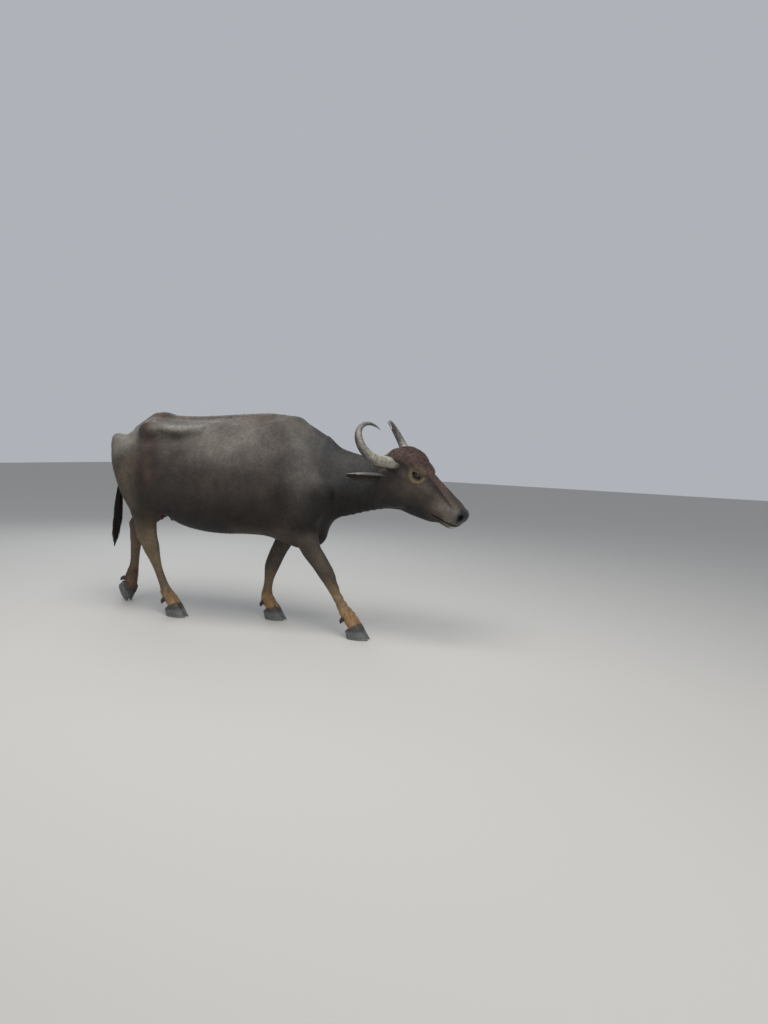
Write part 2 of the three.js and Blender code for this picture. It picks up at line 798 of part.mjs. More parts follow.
const group = new THREE.Group();
function routeOf({ above, shape }) {
  const curve = new THREE.CatmullRomCurve3([above, ...shape.shank.rows].map(([x, y, z]) => vector(x, y, z)));
  return curve.getSpacedPoints(24);
}

function legCutter(leg, grow) {
  const { shank } = leg.shape;
  const grown = (x, y, z) => shank(x, y, z) - tubeMargin - grow;
  const tube = castRings(grown, routeOf(leg), 12, 400, 1.25);
  return keepSide(tube, leg.top.place, leg.top.direction.map((n) => -n), -grow);
}
const legCutters = Object.values(legs).map((leg) => legCutter(leg, gap));

// Trunk
const trunkLines = [
  [...lines(-800, -380, 48), ...lines(-380, 420, 72).slice(1), ...lines(420, 960, 56).slice(1)],
  lines(-400, 400, 52),
  lines(430, 1360, 55),
];
let trunkBody = solid(meshField(fleshField, trunkLines));
trunkBody = keepSide(trunkBody, neckCut.place, neckCut.direction.map((n) => -n), gap / 2);
for (const cutter of legCutters) trunkBody = trunkBody.subtract(cutter);
group.add(piece("torso", trunkBody, coatMatter));

// Neck
const neckPath = lines(720, 1190, 42).map((x) => vector(x, 0, 905 + (x - 690) * 0.06));
let neckBody = castRings(fleshField, neckPath, 24, 330, 1.6);
neckBody = keepSide(neckBody, neckCut.place, neckCut.direction, gap / 2);
neckBody = keepSide(neckBody, headCut.place, headCut.direction.map((n) => -n), gap / 2);
group.add(piece("neck", neckBody, coatMatter));

// Head, meshed in its own frame
const headLines = [
  [-170, ...lines(-147, 60, 23), ...lines(78, 170, 18), ...lines(194, 350, 24), ...lines(367, 500, 17)],
  lines(-150, 150, 20),
  lines(-230, 240, 20),
];
let headBody = solid(meshField(fleshField, headLines, headMatrix));
headBody = keepSide(headBody, headCut.place, headCut.direction, gap / 2);

// Eyes: a ball in a socket, under lids that follow it
function ball(centre, radius, wide = 14, high = 8) {
  const geometry = new THREE.SphereGeometry(radius, wide, high);
  geometry.translate(centre.x, centre.y, centre.z);
  return solid(geometry);
}

// An almond, seen from the side of the head, that opens the lids over an eye
function almond(centre, side) {
  const round = (eyeHalfLength ** 2 + eyeHalfHeight ** 2) / (2 * eyeHalfHeight);
  const halves = [-1, 1].map((way) => {
    const geometry = new THREE.CylinderGeometry(round, round * 0.86, 60, 28);
    geometry.translate(0, 30 + 4, 0);
    geometry.rotateX(side > 0 ? 0 : PI);
    geometry.translate(0, 0, way * (round - eyeHalfHeight));
    geometry.rotateY(radians(eyeSlant));
    geometry.applyMatrix4(new THREE.Matrix4().extractRotation(headMatrix));
    geometry.translate(centre.x, centre.y, centre.z);
    return solid(geometry);
  });
  return halves[0].intersect(halves[1]);
}

// Nostrils and the line of the mouth are hollows in the muzzle
function nostril(side) {
  const [u, y, v] = nostrilPlace;
  const points = [
    inHead(u + 36, (y + 16) * side, v - 4),
    inHead(u + 12, (y + 4) * side, v),
    inHead(u - 10, (y - 6) * side, v + 6),
    inHead(u - 30, (y - 14) * side, v + 10),
  ];
  return sweep(points, [21, 19, 13, 5], [12, 12, 9, 4], 9, headWay(0, -0.5 * side, 1));
}

function mouthLine() {
  const points = [
    inHead(296, 74, -52),
    inHead(350, 72, -44),
    inHead(410, 76, -34),
    inHead(462, 60, -22),
    inHead(496, 0, -18),
    inHead(462, -60, -22),
    inHead(410, -76, -34),
    inHead(350, -72, -44),
    inHead(296, -74, -52),
  ];
  const curve = new THREE.CatmullRomCurve3(points);
  const along = curve.getPoints(20);
  return sweep(along, along.map(() => 16), along.map(() => 2.4), 4, headWay(0, 0, 1));
}

const eyes = {};
for (const side of [rightSide, leftSide]) {
  const centre = inHead(eyePlace[0], eyePlace[1] * side, eyePlace[2]);
  eyes[side] = ball(centre, eyeRadius);
  headBody = headBody.add(ball(centre, eyeRadius + lidThickness, 16, 10)).subtract(almond(centre, side));
  headBody = headBody.subtract(ball(centre, eyeRadius + gap + 0.2));
  headBody = headBody.subtract(nostril(side));
}
headBody = headBody.subtract(mouthLine());
group.add(piece("head", headBody, coatMatter));
group.add(piece("eye_right", eyes[rightSide], eyeMatter));
group.add(piece("eye_left", eyes[leftSide], eyeMatter));

// What grows from a body ends on its surface: the body and a copy moved outwards by the gap are cut away
function rootOn(growth, body, outward) {
  const way = outward.clone().normalize().multiplyScalar(gap * 1.4);
  return growth.subtract(body).subtract(body.translate(way.toArray()));
}

// Horns: outwards and back from the skull, then round in a ring that closes a little, up to the tip.
// The ring lies in the plane of two directions of the head's frame.
const hornRadius = 35;
const hornBase = [-23, 73, 95];
const hornStraight = 141;
const hornRing = 135;
const hornTurn = radians(218);
const hornClosing = 0.35;
const hornOutward = { back: radians(28), down: radians(4) };
const hornUpward = radians(59.5);
function horn(side) {
  const { back, down } = hornOutward;
  const out = vector(-sin(back) * cos(down), cos(back) * cos(down), -sin(down));
  const up = vector(-sin(hornUpward), 0, cos(hornUpward));
  up.addScaledVector(out, -up.dot(out)).normalize();
  const length = hornStraight + hornRing * hornTurn;
  const count = 23;
  const points = [];
  const sizes = [];
  for (let i = 0; i <= count; i++) {
    const along = (length * i) / count;
    const turn = max(along - hornStraight, 0) / hornRing;
    const radius = hornRing * (1 - (hornClosing * turn) / hornTurn);
    const a = min(along, hornStraight) + radius * sin(turn);
    const b = hornRing - radius * cos(turn) - (turn === 0 ? hornRing - radius : 0);
    const place = vector(...hornBase).addScaledVector(out, a).addScaledVector(up, b);
    points.push(inHead(place.x, place.y * side, place.z));
    const t = i / count;
    const rings = t < 0.55 ? 0.025 * sin(i * 2.2) : 0;
    sizes.push(hornRadius * (0.1 + 0.9 * (1 - t ** 1.6) + rings));
  }
  return sweep(points, sizes.map((r) => r * 0.88), sizes, 8, headWay(0, 0, 1));
}

for (const [side, word] of [[rightSide, "right"], [leftSide, "left"]]) {
  const body = rootOn(horn(side), headBody, headWay(-0.6, 0.8 * side, 0));
  group.add(piece(`horn_${word}`, body, hornMatter));
}

// Ears: a long leaf that is rolled into a cup, open forwards and down
const earLength = 248;
const earWidth = 49;
const earThickness = 7;
function ear(side) {
  const root = inHead(-46, 78 * side, 4);
  const out = vector(-0.7, 0.66 * side, -0.24).normalize();
  const back = vector(-0.25, 0.5 * side, 0.83);
  back.addScaledVector(out, -back.dot(out)).normalize();
  const wide = new THREE.Vector3().crossVectors(out, back);
  const stations = 10;
  const across = 7;
  const rings = [];
  for (let i = 0; i <= stations; i++) {
    const s = i / stations;
    const width = earWidth * (0.42 + 1.25 * s) * (1 - s ** 2.4) ** 0.75 + 1.2;
    const roll = 1.25 - 0.75 * s;
    const thick = (earThickness * (1 - 0.62 * s)) / 2;
    const radius = width / sin(min(roll, PI / 2));
    const centre = root
      .clone()
      .addScaledVector(out, earLength * s)
      .addScaledVector(back, -26 * s * s);
    const ring = [];
    const place = (a, offset) =>
      centre
        .clone()
        .addScaledVector(wide, (radius + offset) * sin(a))
        .addScaledVector(back, (radius + offset) * cos(a) - radius);
    for (let n = 0; n <= across; n++) ring.push(place(roll * ((2 * n) / across - 1), thick));
    for (let n = across; n >= 0; n--) ring.push(place(roll * ((2 * n) / across - 1) * 0.97, -thick));
    rings.push(ring);
  }
  return closeSheet(rings, across);
}

// A closed thin sheet from rings that run out over one face and back over the other
function closeSheet(rings, across) {
  const sides = rings[0].length;
  const triangles = [];
  rings.slice(1).forEach((_, i) => {
    for (let n = 0; n < sides; n++) {
      const a = i * sides + n;
      const b = i * sides + ((n + 1) % sides);
      triangles.push(a, a + sides, b, b, a + sides, b + sides);
    }
  });
  for (const [row, flip] of [[0, false], [(rings.length - 1) * sides, true]]) {
    for (let n = 0; n < across; n++) {
      const [a, b, c, d] = [row + n, row + n + 1, row + sides - 2 - n, row + sides - 1 - n];
      if (flip) triangles.push(a, d, c, a, c, b);
      else triangles.push(a, c, d, a, b, c);
    }
  }
  return outwards(rings.flat(), triangles);
}

for (const [side, word] of [[rightSide, "right"], [leftSide, "left"]]) {
  let body = rootOn(ear(side), headBody, vector(-0.7, 0.66 * side, -0.24));
  body = rootOn(body, neckBody, vector(-0.3, side, 0));
  group.add(piece(`ear_${word}`, body, coatMatter));
}

// Claws and dewclaws. A claw is lofted from its sole to the coronet, straight on the side of the cleft.
const clawLength = 128;
const clawWidth = 56;
const clawHeight = 96;
function claw(outer, away) {
  const levels = 3;
  const round = 14;
  const rings = [];
  for (let i = 0; i <= levels; i++) {
    const t = i / levels;
    const long = clawLength * (1 - 0.3 * t) * (1 + (outer ? 0.03 : 0));
    const wide = clawWidth * (1 - 0.14 * t * t);
    const back = -44 * t;
    const ring = [];
    for (let n = 0; n < round; n++) {
      const a = (2 * PI * n) / round;
      const toe = max(cos(a), 0);
      const x = (long / 2) * Math.sign(cos(a)) * abs(cos(a)) ** 0.9 + back;
      let y = (wide / 2) * Math.sign(sin(a)) * abs(sin(a)) ** 0.8;
      y *= 1 - 0.35 * toe ** 2;
      if (y < 0) y *= 0.72;
      ring.push(vector(x, (y + 0.36 * clawWidth - 3 * toe) * away, clawHeight * t));
    }
    rings.push(ring);
  }
  const middle = 0.4 * clawWidth * away;
  return closeRings(rings, vector(0, middle, 0), vector(-46, middle, clawHeight));
}

function dewclaw(away) {
  const path = [[26, 0, 12], [4, 3, 0], [-12, 5, -16], [-17, 7, -28]];
  const points = path.map(([x, y, z]) => vector(x, y * away, z));
  return sweep(points, [13, 15, 12, 4], [14, 16, 12, 4], 6, vector(0, 0, 1));
}

const feet = {
  fore_right: { middle: [1022, -116], pitch: 0, fetlock: [924, -118, 116], lean: 0 },
  fore_left: { middle: [372, 112], pitch: 0, fetlock: [282, 113, 106], lean: 0 },
  hind_right: { middle: [-204, -123], pitch: 0, fetlock: [-296, -126, 106], lean: 0 },
  hind_left: { middle: [-785, 125], pitch: 62, fetlock: [-782, 126, 162], lean: 30, lift: 52 },
};

for (const [word, leg] of Object.entries(legs)) {
  let flesh = castRings(fleshField, routeOf(leg), 14, 190, 1.25);
  flesh = flesh.intersect(legCutter(leg, 0));
  flesh = keepSide(flesh, leg.coronet.place, leg.coronet.direction, gap / 2);
  let upper = keepSide(flesh, leg.middle.place, leg.middle.direction, gap / 2);
  let lower = keepSide(flesh, leg.middle.place, leg.middle.direction.map((n) => -n), gap / 2);
  group.add(piece(`${word}_upper`, upper, coatMatter));
  const foot = feet[word];
  lower = piece(`${word}_lower`, lower, dustyMatter);
  group.add(lower);
  const lowerSolid = solid(lower.geometry);
  for (const [away, toe] of [[leg.side, "outer"], [-leg.side, "inner"]]) {
    const pose = new THREE.Matrix4()
      .makeTranslation(foot.middle[0], foot.middle[1], foot.lift ?? 0)
      .multiply(new THREE.Matrix4().makeRotationY(radians(foot.pitch)));
    let horny = claw(toe === "outer", away).translate([0, 3.5 * away, 0]);
    horny = horny.transform(pose.elements);
    horny = keepSide(horny, leg.coronet.place, leg.coronet.direction.map((n) => -n), gap / 2);
    horny = keepSide(horny, [0, 0, 0], [0, 0, 1]);
    group.add(piece(`${word}_claw_${toe}`, horny, hoofMatter));
    const seat = new THREE.Matrix4()
      .makeTranslation(foot.fetlock[0], foot.fetlock[1] + 22 * away, foot.fetlock[2])
      .multiply(new THREE.Matrix4().makeRotationY(radians(foot.lean)));
    const spur = dewclaw(away).transform(seat.elements);
    group.add(piece(`${word}_dewclaw_${toe}`, rootOn(spur, lowerSolid, vector(-1, 0, -0.3)), hoofMatter));
  }
}

// Udder, with four teats
let udder = solid(meshField(udderSwell, [lines(-500, -210, 30), lines(-110, 110, 28), lines(620, 820, 30)]));
for (const x of [-392, -322]) {
  for (const y of [-42, 42]) {
    const path = [[0, 1, 690], [0, 1.05, 640], [3, 1.08, 600], [4, 1.1, 576]];
    const points = path.map(([ahead, spread, z]) => vector(x + ahead, y * spread, z));
    udder = udder.add(sweep(points, [14, 13, 11, 5], [14, 13, 11, 5], 8, vector(1, 0, 0)));
  }
}
group.add(piece("udder", rootOn(udder, trunkBody, vector(0, 0, -1)), udderMatter));

// Tail, hanging behind the hocks, with its switch of long hair
const tailPath = [
  [-690, 0, 1128],
  [-728, 0, 1080],
  [-752, 0, 985],
  [-752, 0, 890],
  [-748, 0, 800],
  [-752, 0, 700],
].map((p) => vector(...p));
const tailCurve = new THREE.CatmullRomCurve3(tailPath);
const tailPoints = tailCurve.getSpacedPoints(12);
const tailSizes = tailPoints.map((_, i) => 25 - (13 * i) / 12);
let tail = sweep(tailPoints, tailSizes, tailSizes, 8, vector(1, 0, 0));
const switchTop = 772;
tail = keepSide(tail, [0, 0, switchTop], [0, 0, 1], gap / 2);
tail = rootOn(tail, trunkBody, vector(-1, 0, 0));
group.add(piece("tail", tail, coatMatter));

const switchPath = [
  [-749, 0, 771],
  [-752, 0, 700],
  [-764, 0, 598],
  [-770, 0, 520],
  [-783, 0, 430],
  [-790, 0, 376],
].map((p) => vector(...p));
const switchCurve = new THREE.CatmullRomCurve3(switchPath);
const core = switchCurve.getSpacedPoints(8);
const coreSizes = [13, 16, 19, 20, 20, 18, 15, 10, 3];
let hair = sweep(core, coreSizes, coreSizes, 8, vector(1, 0, 0));

// A flat lock of hair that starts inside the switch, swings out and hangs to a point
function lock(turn, start, end, width) {
  const out = vector(cos(turn), sin(turn), 0);
  const points = [0, 0.35, 0.75, 1].map((t) => {
    const along = switchCurve.getPointAt(start + (end - start) * t);
    const swing = 6 + 24 * sin(PI * min(t * 1.1, 1) * 0.8);
    return along.addScaledVector(out, swing).add(vector(0, 0, -26 * t * t));
  });
  return sweep(points, [0.5, 0.95, 0.85, 0.12].map((w) => w * width), [6, 7, 5, 1.2], 4, out);
}
for (let n = 0; n < 7; n++) {
  const start = 0.08 + 0.08 * (n % 4) + 0.02 * n;
  hair = hair.add(lock(2.4 * n, start, min(start + 0.5 + 0.03 * (n % 4), 0.97), 14 + (n % 3)));
}
group.add(piece("tail_switch", keepSide(hair, [0, 0, switchTop], [0, 0, -1], gap / 2), hairMatter));

// The part's origin is under the middle of its box, on the floor
const box = new THREE.Box3().setFromObject(group);
group.position.set(-(box.min.x + box.max.x) / 2, -(box.min.y + box.max.y) / 2, -box.min.z);

export default group;
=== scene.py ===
import math
import bpy
import numpy as np
from mathutils import Matrix, Vector


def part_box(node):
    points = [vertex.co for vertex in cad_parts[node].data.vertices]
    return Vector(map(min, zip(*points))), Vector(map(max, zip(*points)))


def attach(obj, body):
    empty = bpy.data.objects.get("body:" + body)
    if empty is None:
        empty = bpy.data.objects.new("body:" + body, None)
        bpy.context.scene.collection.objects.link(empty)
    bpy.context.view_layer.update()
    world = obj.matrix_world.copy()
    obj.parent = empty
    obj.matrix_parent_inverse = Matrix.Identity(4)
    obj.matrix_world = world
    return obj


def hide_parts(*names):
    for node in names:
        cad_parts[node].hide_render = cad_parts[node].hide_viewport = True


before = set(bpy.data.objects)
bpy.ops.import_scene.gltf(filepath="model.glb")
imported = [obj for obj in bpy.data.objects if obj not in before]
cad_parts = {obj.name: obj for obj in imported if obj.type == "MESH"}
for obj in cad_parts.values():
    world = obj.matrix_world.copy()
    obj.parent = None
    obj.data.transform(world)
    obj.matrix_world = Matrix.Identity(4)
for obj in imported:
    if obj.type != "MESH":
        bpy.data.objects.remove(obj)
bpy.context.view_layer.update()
print("frame loaded")

# A water buffalo cow, walking, life-size. Her skin is one smooth surface, found on a fine grid from fields that are
# negative inside her. Horns, hooves, eyes and hair are pieces of their own. Fields are in millimetres, in the frame
# of the part's source, and meshes are in metres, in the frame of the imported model.
mm = 0.001
scene = bpy.context.scene
rng = np.random.default_rng(7)


# Fields: each takes an array of places, one to a row, and gives about the distance to the surface

def join(a, b, k):
    h = np.maximum(k - np.abs(a - b), 0) / k
    return np.minimum(a, b) - h * h * k / 4


def carve(a, b, k):
    return -join(-a, b, k)


def smoothstep(low, high, value):
    t = np.clip((value - low) / (high - low), 0, 1)
    return t * t * (3 - 2 * t)


# A smooth curve through rows of (place, value, value, ...)
def tabulate(rows, samples=160):
    rows = np.array(rows, float)
    before = rows[np.maximum(np.arange(len(rows)) - 1, 0)]
    after = rows[np.minimum(np.arange(len(rows)) + 1, len(rows) - 1)]
    slopes = (after - before) / (after[:, :1] - before[:, :1])
    s = np.linspace(rows[0, 0], rows[-1, 0], samples + 1)
    i = np.clip(np.searchsorted(rows[:, 0], s, side="left") - 1, 0, len(rows) - 2)
    span = (rows[i + 1, 0] - rows[i, 0])[:, None]
    t = (s[:, None] - rows[i, :1]) / span
    table = ((2 * t**3 - 3 * t**2 + 1) * rows[i, 1:] + (t**3 - 2 * t**2 + t) * span * slopes[i, 1:]
             + (3 * t**2 - 2 * t**3) * rows[i + 1, 1:] + (t**3 - t**2) * span * slopes[i + 1, 1:])
    return lambda q: [np.interp(q, s, table[:, c]) for c in range(table.shape[1])]


# A long body of rounded sections: place, top, bottom, half width, widest level, powers of the upper and lower half
def loftField(rows, backCap, frontCap):
    section = tabulate(rows)
    first, last = rows[0][0], rows[-1][0]

    def field(p):
        s, y, z = p.T
        top, bottom, wide, level, upper, lower = section(s)
        cap = np.where(s < first, backCap, frontCap)
        over = np.maximum(np.maximum(first - s, s - last), 0) / cap
        high = np.where(z > level, top - level, level - bottom)
        power = np.where(z > level, upper, lower)
        u, v = np.abs(y) / wide, np.abs(z - level) / high
        around = np.maximum((u**power + v**power) ** (1 / power), 0.02)
        slope = np.hypot((u / around) ** (power - 1) / wide, (v / around) ** (power - 1) / high)
        whole = np.hypot(around, over)
        return (whole - 1) / np.maximum(np.hypot(slope * around / whole, over / whole / cap), 1e-6)
    return field


# A limb through rows of x, y, z, half depth (fore and aft) and half width (sideways)
def limbField(rows, steps=3):
    rows = np.array(rows, float)
    place = np.concatenate([[0], np.cumsum(np.linalg.norm(np.diff(rows[:, :3], axis=0), axis=1))])
    count = (len(rows) - 1) * steps
    read = tabulate(np.column_stack([place, rows]), 200)
    knots = np.array(read(place[-1] * np.arange(count + 1) / count)).T
    size = knots[:, 3:].max(axis=1, keepdims=True)
    low, high = (knots[:, :3] - size).min(axis=0), (knots[:, :3] + size).max(axis=0)

    def field(p):
        out = np.maximum(low - p, p - high).max(axis=1)
        near = out <= 90
        q = p[near]
        nearest = np.full(len(q), np.inf)
        for a, b in zip(knots[:-1], knots[1:]):
            d = b[:3] - a[:3]
            t = np.clip((q - a[:3]) @ d / (d @ d), 0, 1)
            r = q - a[:3] - t[:, None] * d
            flat = math.hypot(d[0], d[2]) or 1
            fore = (r[:, 2] * d[0] - r[:, 0] * d[2]) / flat
            ends = (r[:, 0] * d[0] + r[:, 2] * d[2]) / flat
            deep, wide = a[3] + (b[3] - a[3]) * t, a[4] + (b[4] - a[4]) * t
            least = np.minimum(deep, wide)
            k0 = np.sqrt((fore / deep) ** 2 + (r[:, 1] / wide) ** 2 + (ends / least) ** 2)
            k1 = np.sqrt((fore / deep**2) ** 2 + (r[:, 1] / wide**2) ** 2 + (ends / least**2) ** 2)
            nearest = np.minimum(nearest, k0 * (k0 - 1) / np.maximum(k1, 1e-6))
        out[near] = nearest
        return out
    return field


# An ellipsoid, its length turned nose down by pitch and to the left by turn, in degrees
def eggField(centre, radii, pitch=0, turn=0):
    cp, sp = math.cos(math.radians(pitch)), math.sin(math.radians(pitch))
    ct, st = math.cos(math.radians(turn)), math.sin(math.radians(turn))

    def field(p):
        dx, dy, dz = (p - centre).T
        ahead, side = dx * ct + dy * st, dy * ct - dx * st
        local = np.array([ahead * cp - dz * sp, side, ahead * sp + dz * cp])
        k0 = np.sqrt(sum((local[c] / radii[c]) ** 2 for c in range(3)))
        k1 = np.sqrt(sum((local[c] / radii[c] ** 2) ** 2 for c in range(3)))
        return k0 * (k0 - 1) / np.maximum(k1, 1e-6)
    return field


# Trunk, from the rump to the chest. The cow stands 1.3 m high at the withers, which are at x = 350.
trunk = loftField(
    backCap=55,
    frontCap=60,
    rows=(
        (-665, 1150, 800, 150, 1000, 1.9, 2.0), (-560, 1206, 725, 204, 990, 2.0, 2.0),
        (-446, 1268, 685, 238, 990, 2.1, 2.0), (-340, 1262, 628, 264, 950, 2.1, 2.1),
        (-220, 1258, 572, 302, 900, 2.05, 2.2), (-60, 1265, 545, 338, 865, 1.95, 2.25),
        (80, 1279, 541, 346, 855, 1.8, 2.25), (230, 1292, 549, 318, 855, 1.8, 2.2),
        (370, 1294, 545, 268, 860, 1.8, 2.1), (500, 1278, 512, 222, 860, 1.8, 2.0),
        (620, 1226, 512, 186, 850, 1.8, 2.0), (715, 1168, 590, 150, 860, 1.85, 2.0)
    )
)

# Neck, deep and thin, from inside the shoulders to the skull
neck = loftField(
    backCap=80,
    frontCap=45,
    rows=(
        (560, 1252, 720, 168, 960, 1.7, 1.9), (700, 1180, 662, 148, 925, 1.7, 1.9),
        (800, 1127, 692, 128, 915, 1.7, 1.9), (900, 1096, 716, 112, 905, 1.7, 1.9),
        (1000, 1077, 745, 102, 905, 1.7, 1.9), (1100, 1085, 768, 97, 920, 1.8, 1.9),
        (1160, 1108, 783, 92, 935, 1.9, 1.9)
    )
)

# Bones and muscles that shape the trunk, for each side
def trunkForms(s):
    return dict(
        pin=eggField((-682, 112 * s, 1112), (40, 34, 34)),
        hook=eggField((-400, 186 * s, 1166), (74, 60, 58), 8, 10 * s),
        thurl=eggField((-545, 190 * s, 985), (90, 46, 80)),
        shelf=limbField((
            (-380, 176 * s, 1196, 16, 40), (-260, 196 * s, 1182, 14, 36), (-120, 206 * s, 1180, 12, 34),
            (-20, 200 * s, 1184, 10, 30)
        )),
        hollow=eggField((-235, 352 * s, 1118), (120, 96, 44), 0, -6 * s),
        rumpHollow=eggField((-555, 306 * s, 1086), (110, 100, 60), 42, 18 * s),
        blade=limbField((
            (455, 92 * s, 1200, 78, 44), (590, 148 * s, 1020, 96, 46), (715, 164 * s, 860, 80, 50)
        ))
    )


rightTrunk = trunkForms(-1)
leftTrunk = trunkForms(1)
spine = limbField((
    (-600, 0, 1184, 18, 34), (-446, 0, 1276, 22, 40), (-300, 0, 1252, 18, 34), (80, 0, 1268, 18, 34),
    (370, 0, 1282, 22, 42), (520, 0, 1262, 22, 44)
))
brisket = eggField((600, 0, 590), (140, 92, 92), 12)
udderSwell = eggField((-352, 0, 722), (125, 98, 74))

# Right foreleg, reaching forward, from the shoulder to the pastern
rightFore = dict(
    arm=limbField((
        (748, -164, 845, 78, 50), (694, -176, 760, 98, 56), (628, -176, 690, 84, 50)
    )),
    triceps=eggField((575, -168, 800), (135, 62, 120), 40),
    shank=limbField((
        (638, -168, 690, 92, 56), (672, -158, 600, 80, 54), (712, -148, 505, 62, 50),
        (748, -142, 456, 57, 48), (781, -137, 410, 53, 46), (810, -133, 366, 50, 45),
        (836, -129, 318, 41, 38), (864, -126, 265, 33, 32), (890, -123, 220, 31, 31),
        (922, -120, 168, 36, 35), (944, -118, 138, 43, 42), (978, -117, 98, 41, 47),
        (1004, -116, 58, 44, 52), (1020, -116, 30, 44, 52)
    ))
)

# Left foreleg, leaning back under the chest
leftFore = dict(
    arm=limbField((
        (730, 164, 850, 78, 50), (636, 174, 765, 98, 56), (520, 170, 700, 84, 50)
    )),
    triceps=eggField((520, 166, 810), (135, 62, 120), 25),
    shank=limbField((
        (492, 160, 700, 92, 56), (448, 150, 610, 80, 54), (404, 138, 520, 62, 50), (370, 130, 450, 55, 48),
        (345, 124, 390, 53, 46), (326, 120, 335, 49, 45), (315, 117, 278, 37, 37), (308, 115, 225, 31, 31),
        (302, 114, 172, 35, 34), (305, 113, 132, 43, 42), (332, 112, 94, 41, 47), (354, 112, 56, 44, 52),
        (366, 112, 28, 44, 52)
    ))
)

# Right hind leg, carrying weight, from the hip to the pastern
rightHind = dict(
    thigh=limbField((
        (-520, -176, 1000, 122, 62), (-420, -200, 880, 138, 66), (-300, -206, 752, 84, 56)
    )),
    ham=limbField((
        (-650, -128, 1060, 58, 52), (-592, -160, 930, 82, 60), (-535, -172, 800, 84, 54),
        (-480, -172, 690, 66, 46)
    )),
    shank=limbField((
        (-375, -196, 745, 112, 56), (-418, -184, 640, 88, 52), (-414, -170, 550, 68, 44),
        (-404, -158, 478, 60, 41), (-394, -151, 430, 58, 42), (-374, -144, 370, 42, 36),
        (-352, -139, 305, 30, 30), (-334, -135, 257, 28, 28), (-308, -131, 195, 30, 30),
        (-282, -127, 138, 39, 40), (-246, -124, 96, 40, 45), (-220, -123, 56, 42, 50),
        (-206, -123, 28, 42, 50)
    )),
    heel=limbField((
        (-500, -174, 640, 30, 26), (-492, -166, 560, 18, 17), (-466, -158, 486, 24, 24),
        (-420, -154, 440, 26, 28)
    ))
)

# Left hind leg, stretched back, with only its toe tips on the floor
leftHind = dict(
    thigh=limbField((
        (-520, 176, 1000, 122, 62), (-470, 200, 870, 132, 66), (-412, 206, 735, 84, 56)
    )),
    ham=limbField((
        (-650, 128, 1060, 58, 52), (-625, 160, 930, 80, 60), (-612, 172, 800, 80, 54),
        (-590, 172, 700, 62, 46)
    )),
    shank=limbField((
        (-465, 196, 745, 110, 56), (-555, 186, 660, 84, 52), (-640, 170, 580, 64, 44),
        (-700, 158, 515, 58, 41), (-716, 150, 468, 55, 42), (-719, 143, 405, 42, 36),
        (-720, 137, 335, 35, 31), (-721, 133, 265, 33, 30), (-728, 129, 210, 39, 36),
        (-738, 127, 172, 46, 42), (-742, 126, 134, 44, 46), (-746, 125, 100, 46, 50),
        (-752, 125, 70, 46, 50)
    )),
    heel=limbField((
        (-640, 176, 680, 30, 26), (-715, 168, 608, 18, 17), (-766, 160, 532, 24, 24),
        (-738, 155, 480, 26, 28)
    ))
)

# Face and skull, in the head's frame
face = loftField(
    backCap=30,
    frontCap=26,
    rows=(
        (-95, 140, -90, 86, 60, 2.3, 1.9), (-40, 184, -150, 98, 70, 2.5, 1.8),
        (20, 195, -160, 103, 85, 2.6, 1.75), (63, 192, -160, 104, 92, 2.5, 1.75),
        (102, 176, -154, 104, 88, 2.3, 1.75), (158, 147, -145, 88, 55, 2.1, 1.9),
        (223, 131, -130, 71, 35, 2.0, 2.0), (296, 115, -109, 62, 15, 2.0, 2.1),
        (345, 102, -84, 62, 8, 2.1, 2.2), (400, 87, -66, 68, 10, 2.3, 2.4),
        (440, 70, -50, 66, 12, 2.4, 2.4)
    )
)
eyeSize = {"radius": 24, "place": (116, 77, 104), "halfLength": 24, "halfHeight": 11, "slant": 14,
           "lid": 6.5, "ring": 3.0}
nostrilPlace = (434, 46, 30)


def faceForms(s):
    return dict(
        brow=eggField((104, 78 * s, 140), (54, 24, 18), 16, -10 * s),
        cheekBone=limbField((
            (70, 84 * s, 62, 15, 15), (140, 80 * s, 56, 16, 14), (230, 58 * s, 38, 13, 10)
        )),
        jaw=eggField((40, 66 * s, -62), (98, 34, 82), -6),
        nostrilWing=eggField((436, 46 * s, 30), (30, 20, 30), -20),
        lip=eggField((404, 44 * s, -22), (46, 22, 26), 6, -6 * s),
        templeHollow=eggField((30, 122 * s, 92), (40, 24, 26), 0, 0),
        hornRoot=limbField((
            (-20, 62 * s, 118, 44, 40), (-48, 104 * s, 106, 40, 38)
        )),
        earRoot=limbField((
            (-30, 70 * s, 8, 34, 34), (-62, 104 * s, -2, 26, 26)
        ))
    )


rightFace = faceForms(-1)
leftFace = faceForms(1)
chin = eggField((392, 0, -58), (48, 36, 20), 0)
nosePad = eggField((452, 0, 30), (26, 46, 36), -12)
forelock = eggField((12, 0, 150), (92, 84, 52), -4)

# The head's own frame: u from the skull to the muzzle, v up to the forehead, y to the left
headOrigin = Vector((1190, -8, 955))
headMatrix = (Matrix.Translation(headOrigin) @ Matrix.Rotation(math.radians(-8), 4, "Z")
              @ Matrix.Rotation(math.radians(4), 4, "X") @ Matrix.Rotation(math.radians(29), 4, "Y"))
headTurn = np.array(headMatrix.to_3x3())


def toHead(p):
    return (p - np.array(headOrigin)) @ headTurn


def inHead(u, y, v):
    return np.array(headMatrix @ Vector((u, y, v)))


# A cone through points, rounded, with a radius at each
def cordField(points, radii):
    return limbField([(*p, r, r) for p, r in zip(points, radii)], 2)


eyeAhead, eyeAside, eyeUp = eyeSize["place"]
eyeCentres = {s: np.array((eyeAhead, eyeAside * s, eyeUp)) for s in (-1, 1)}


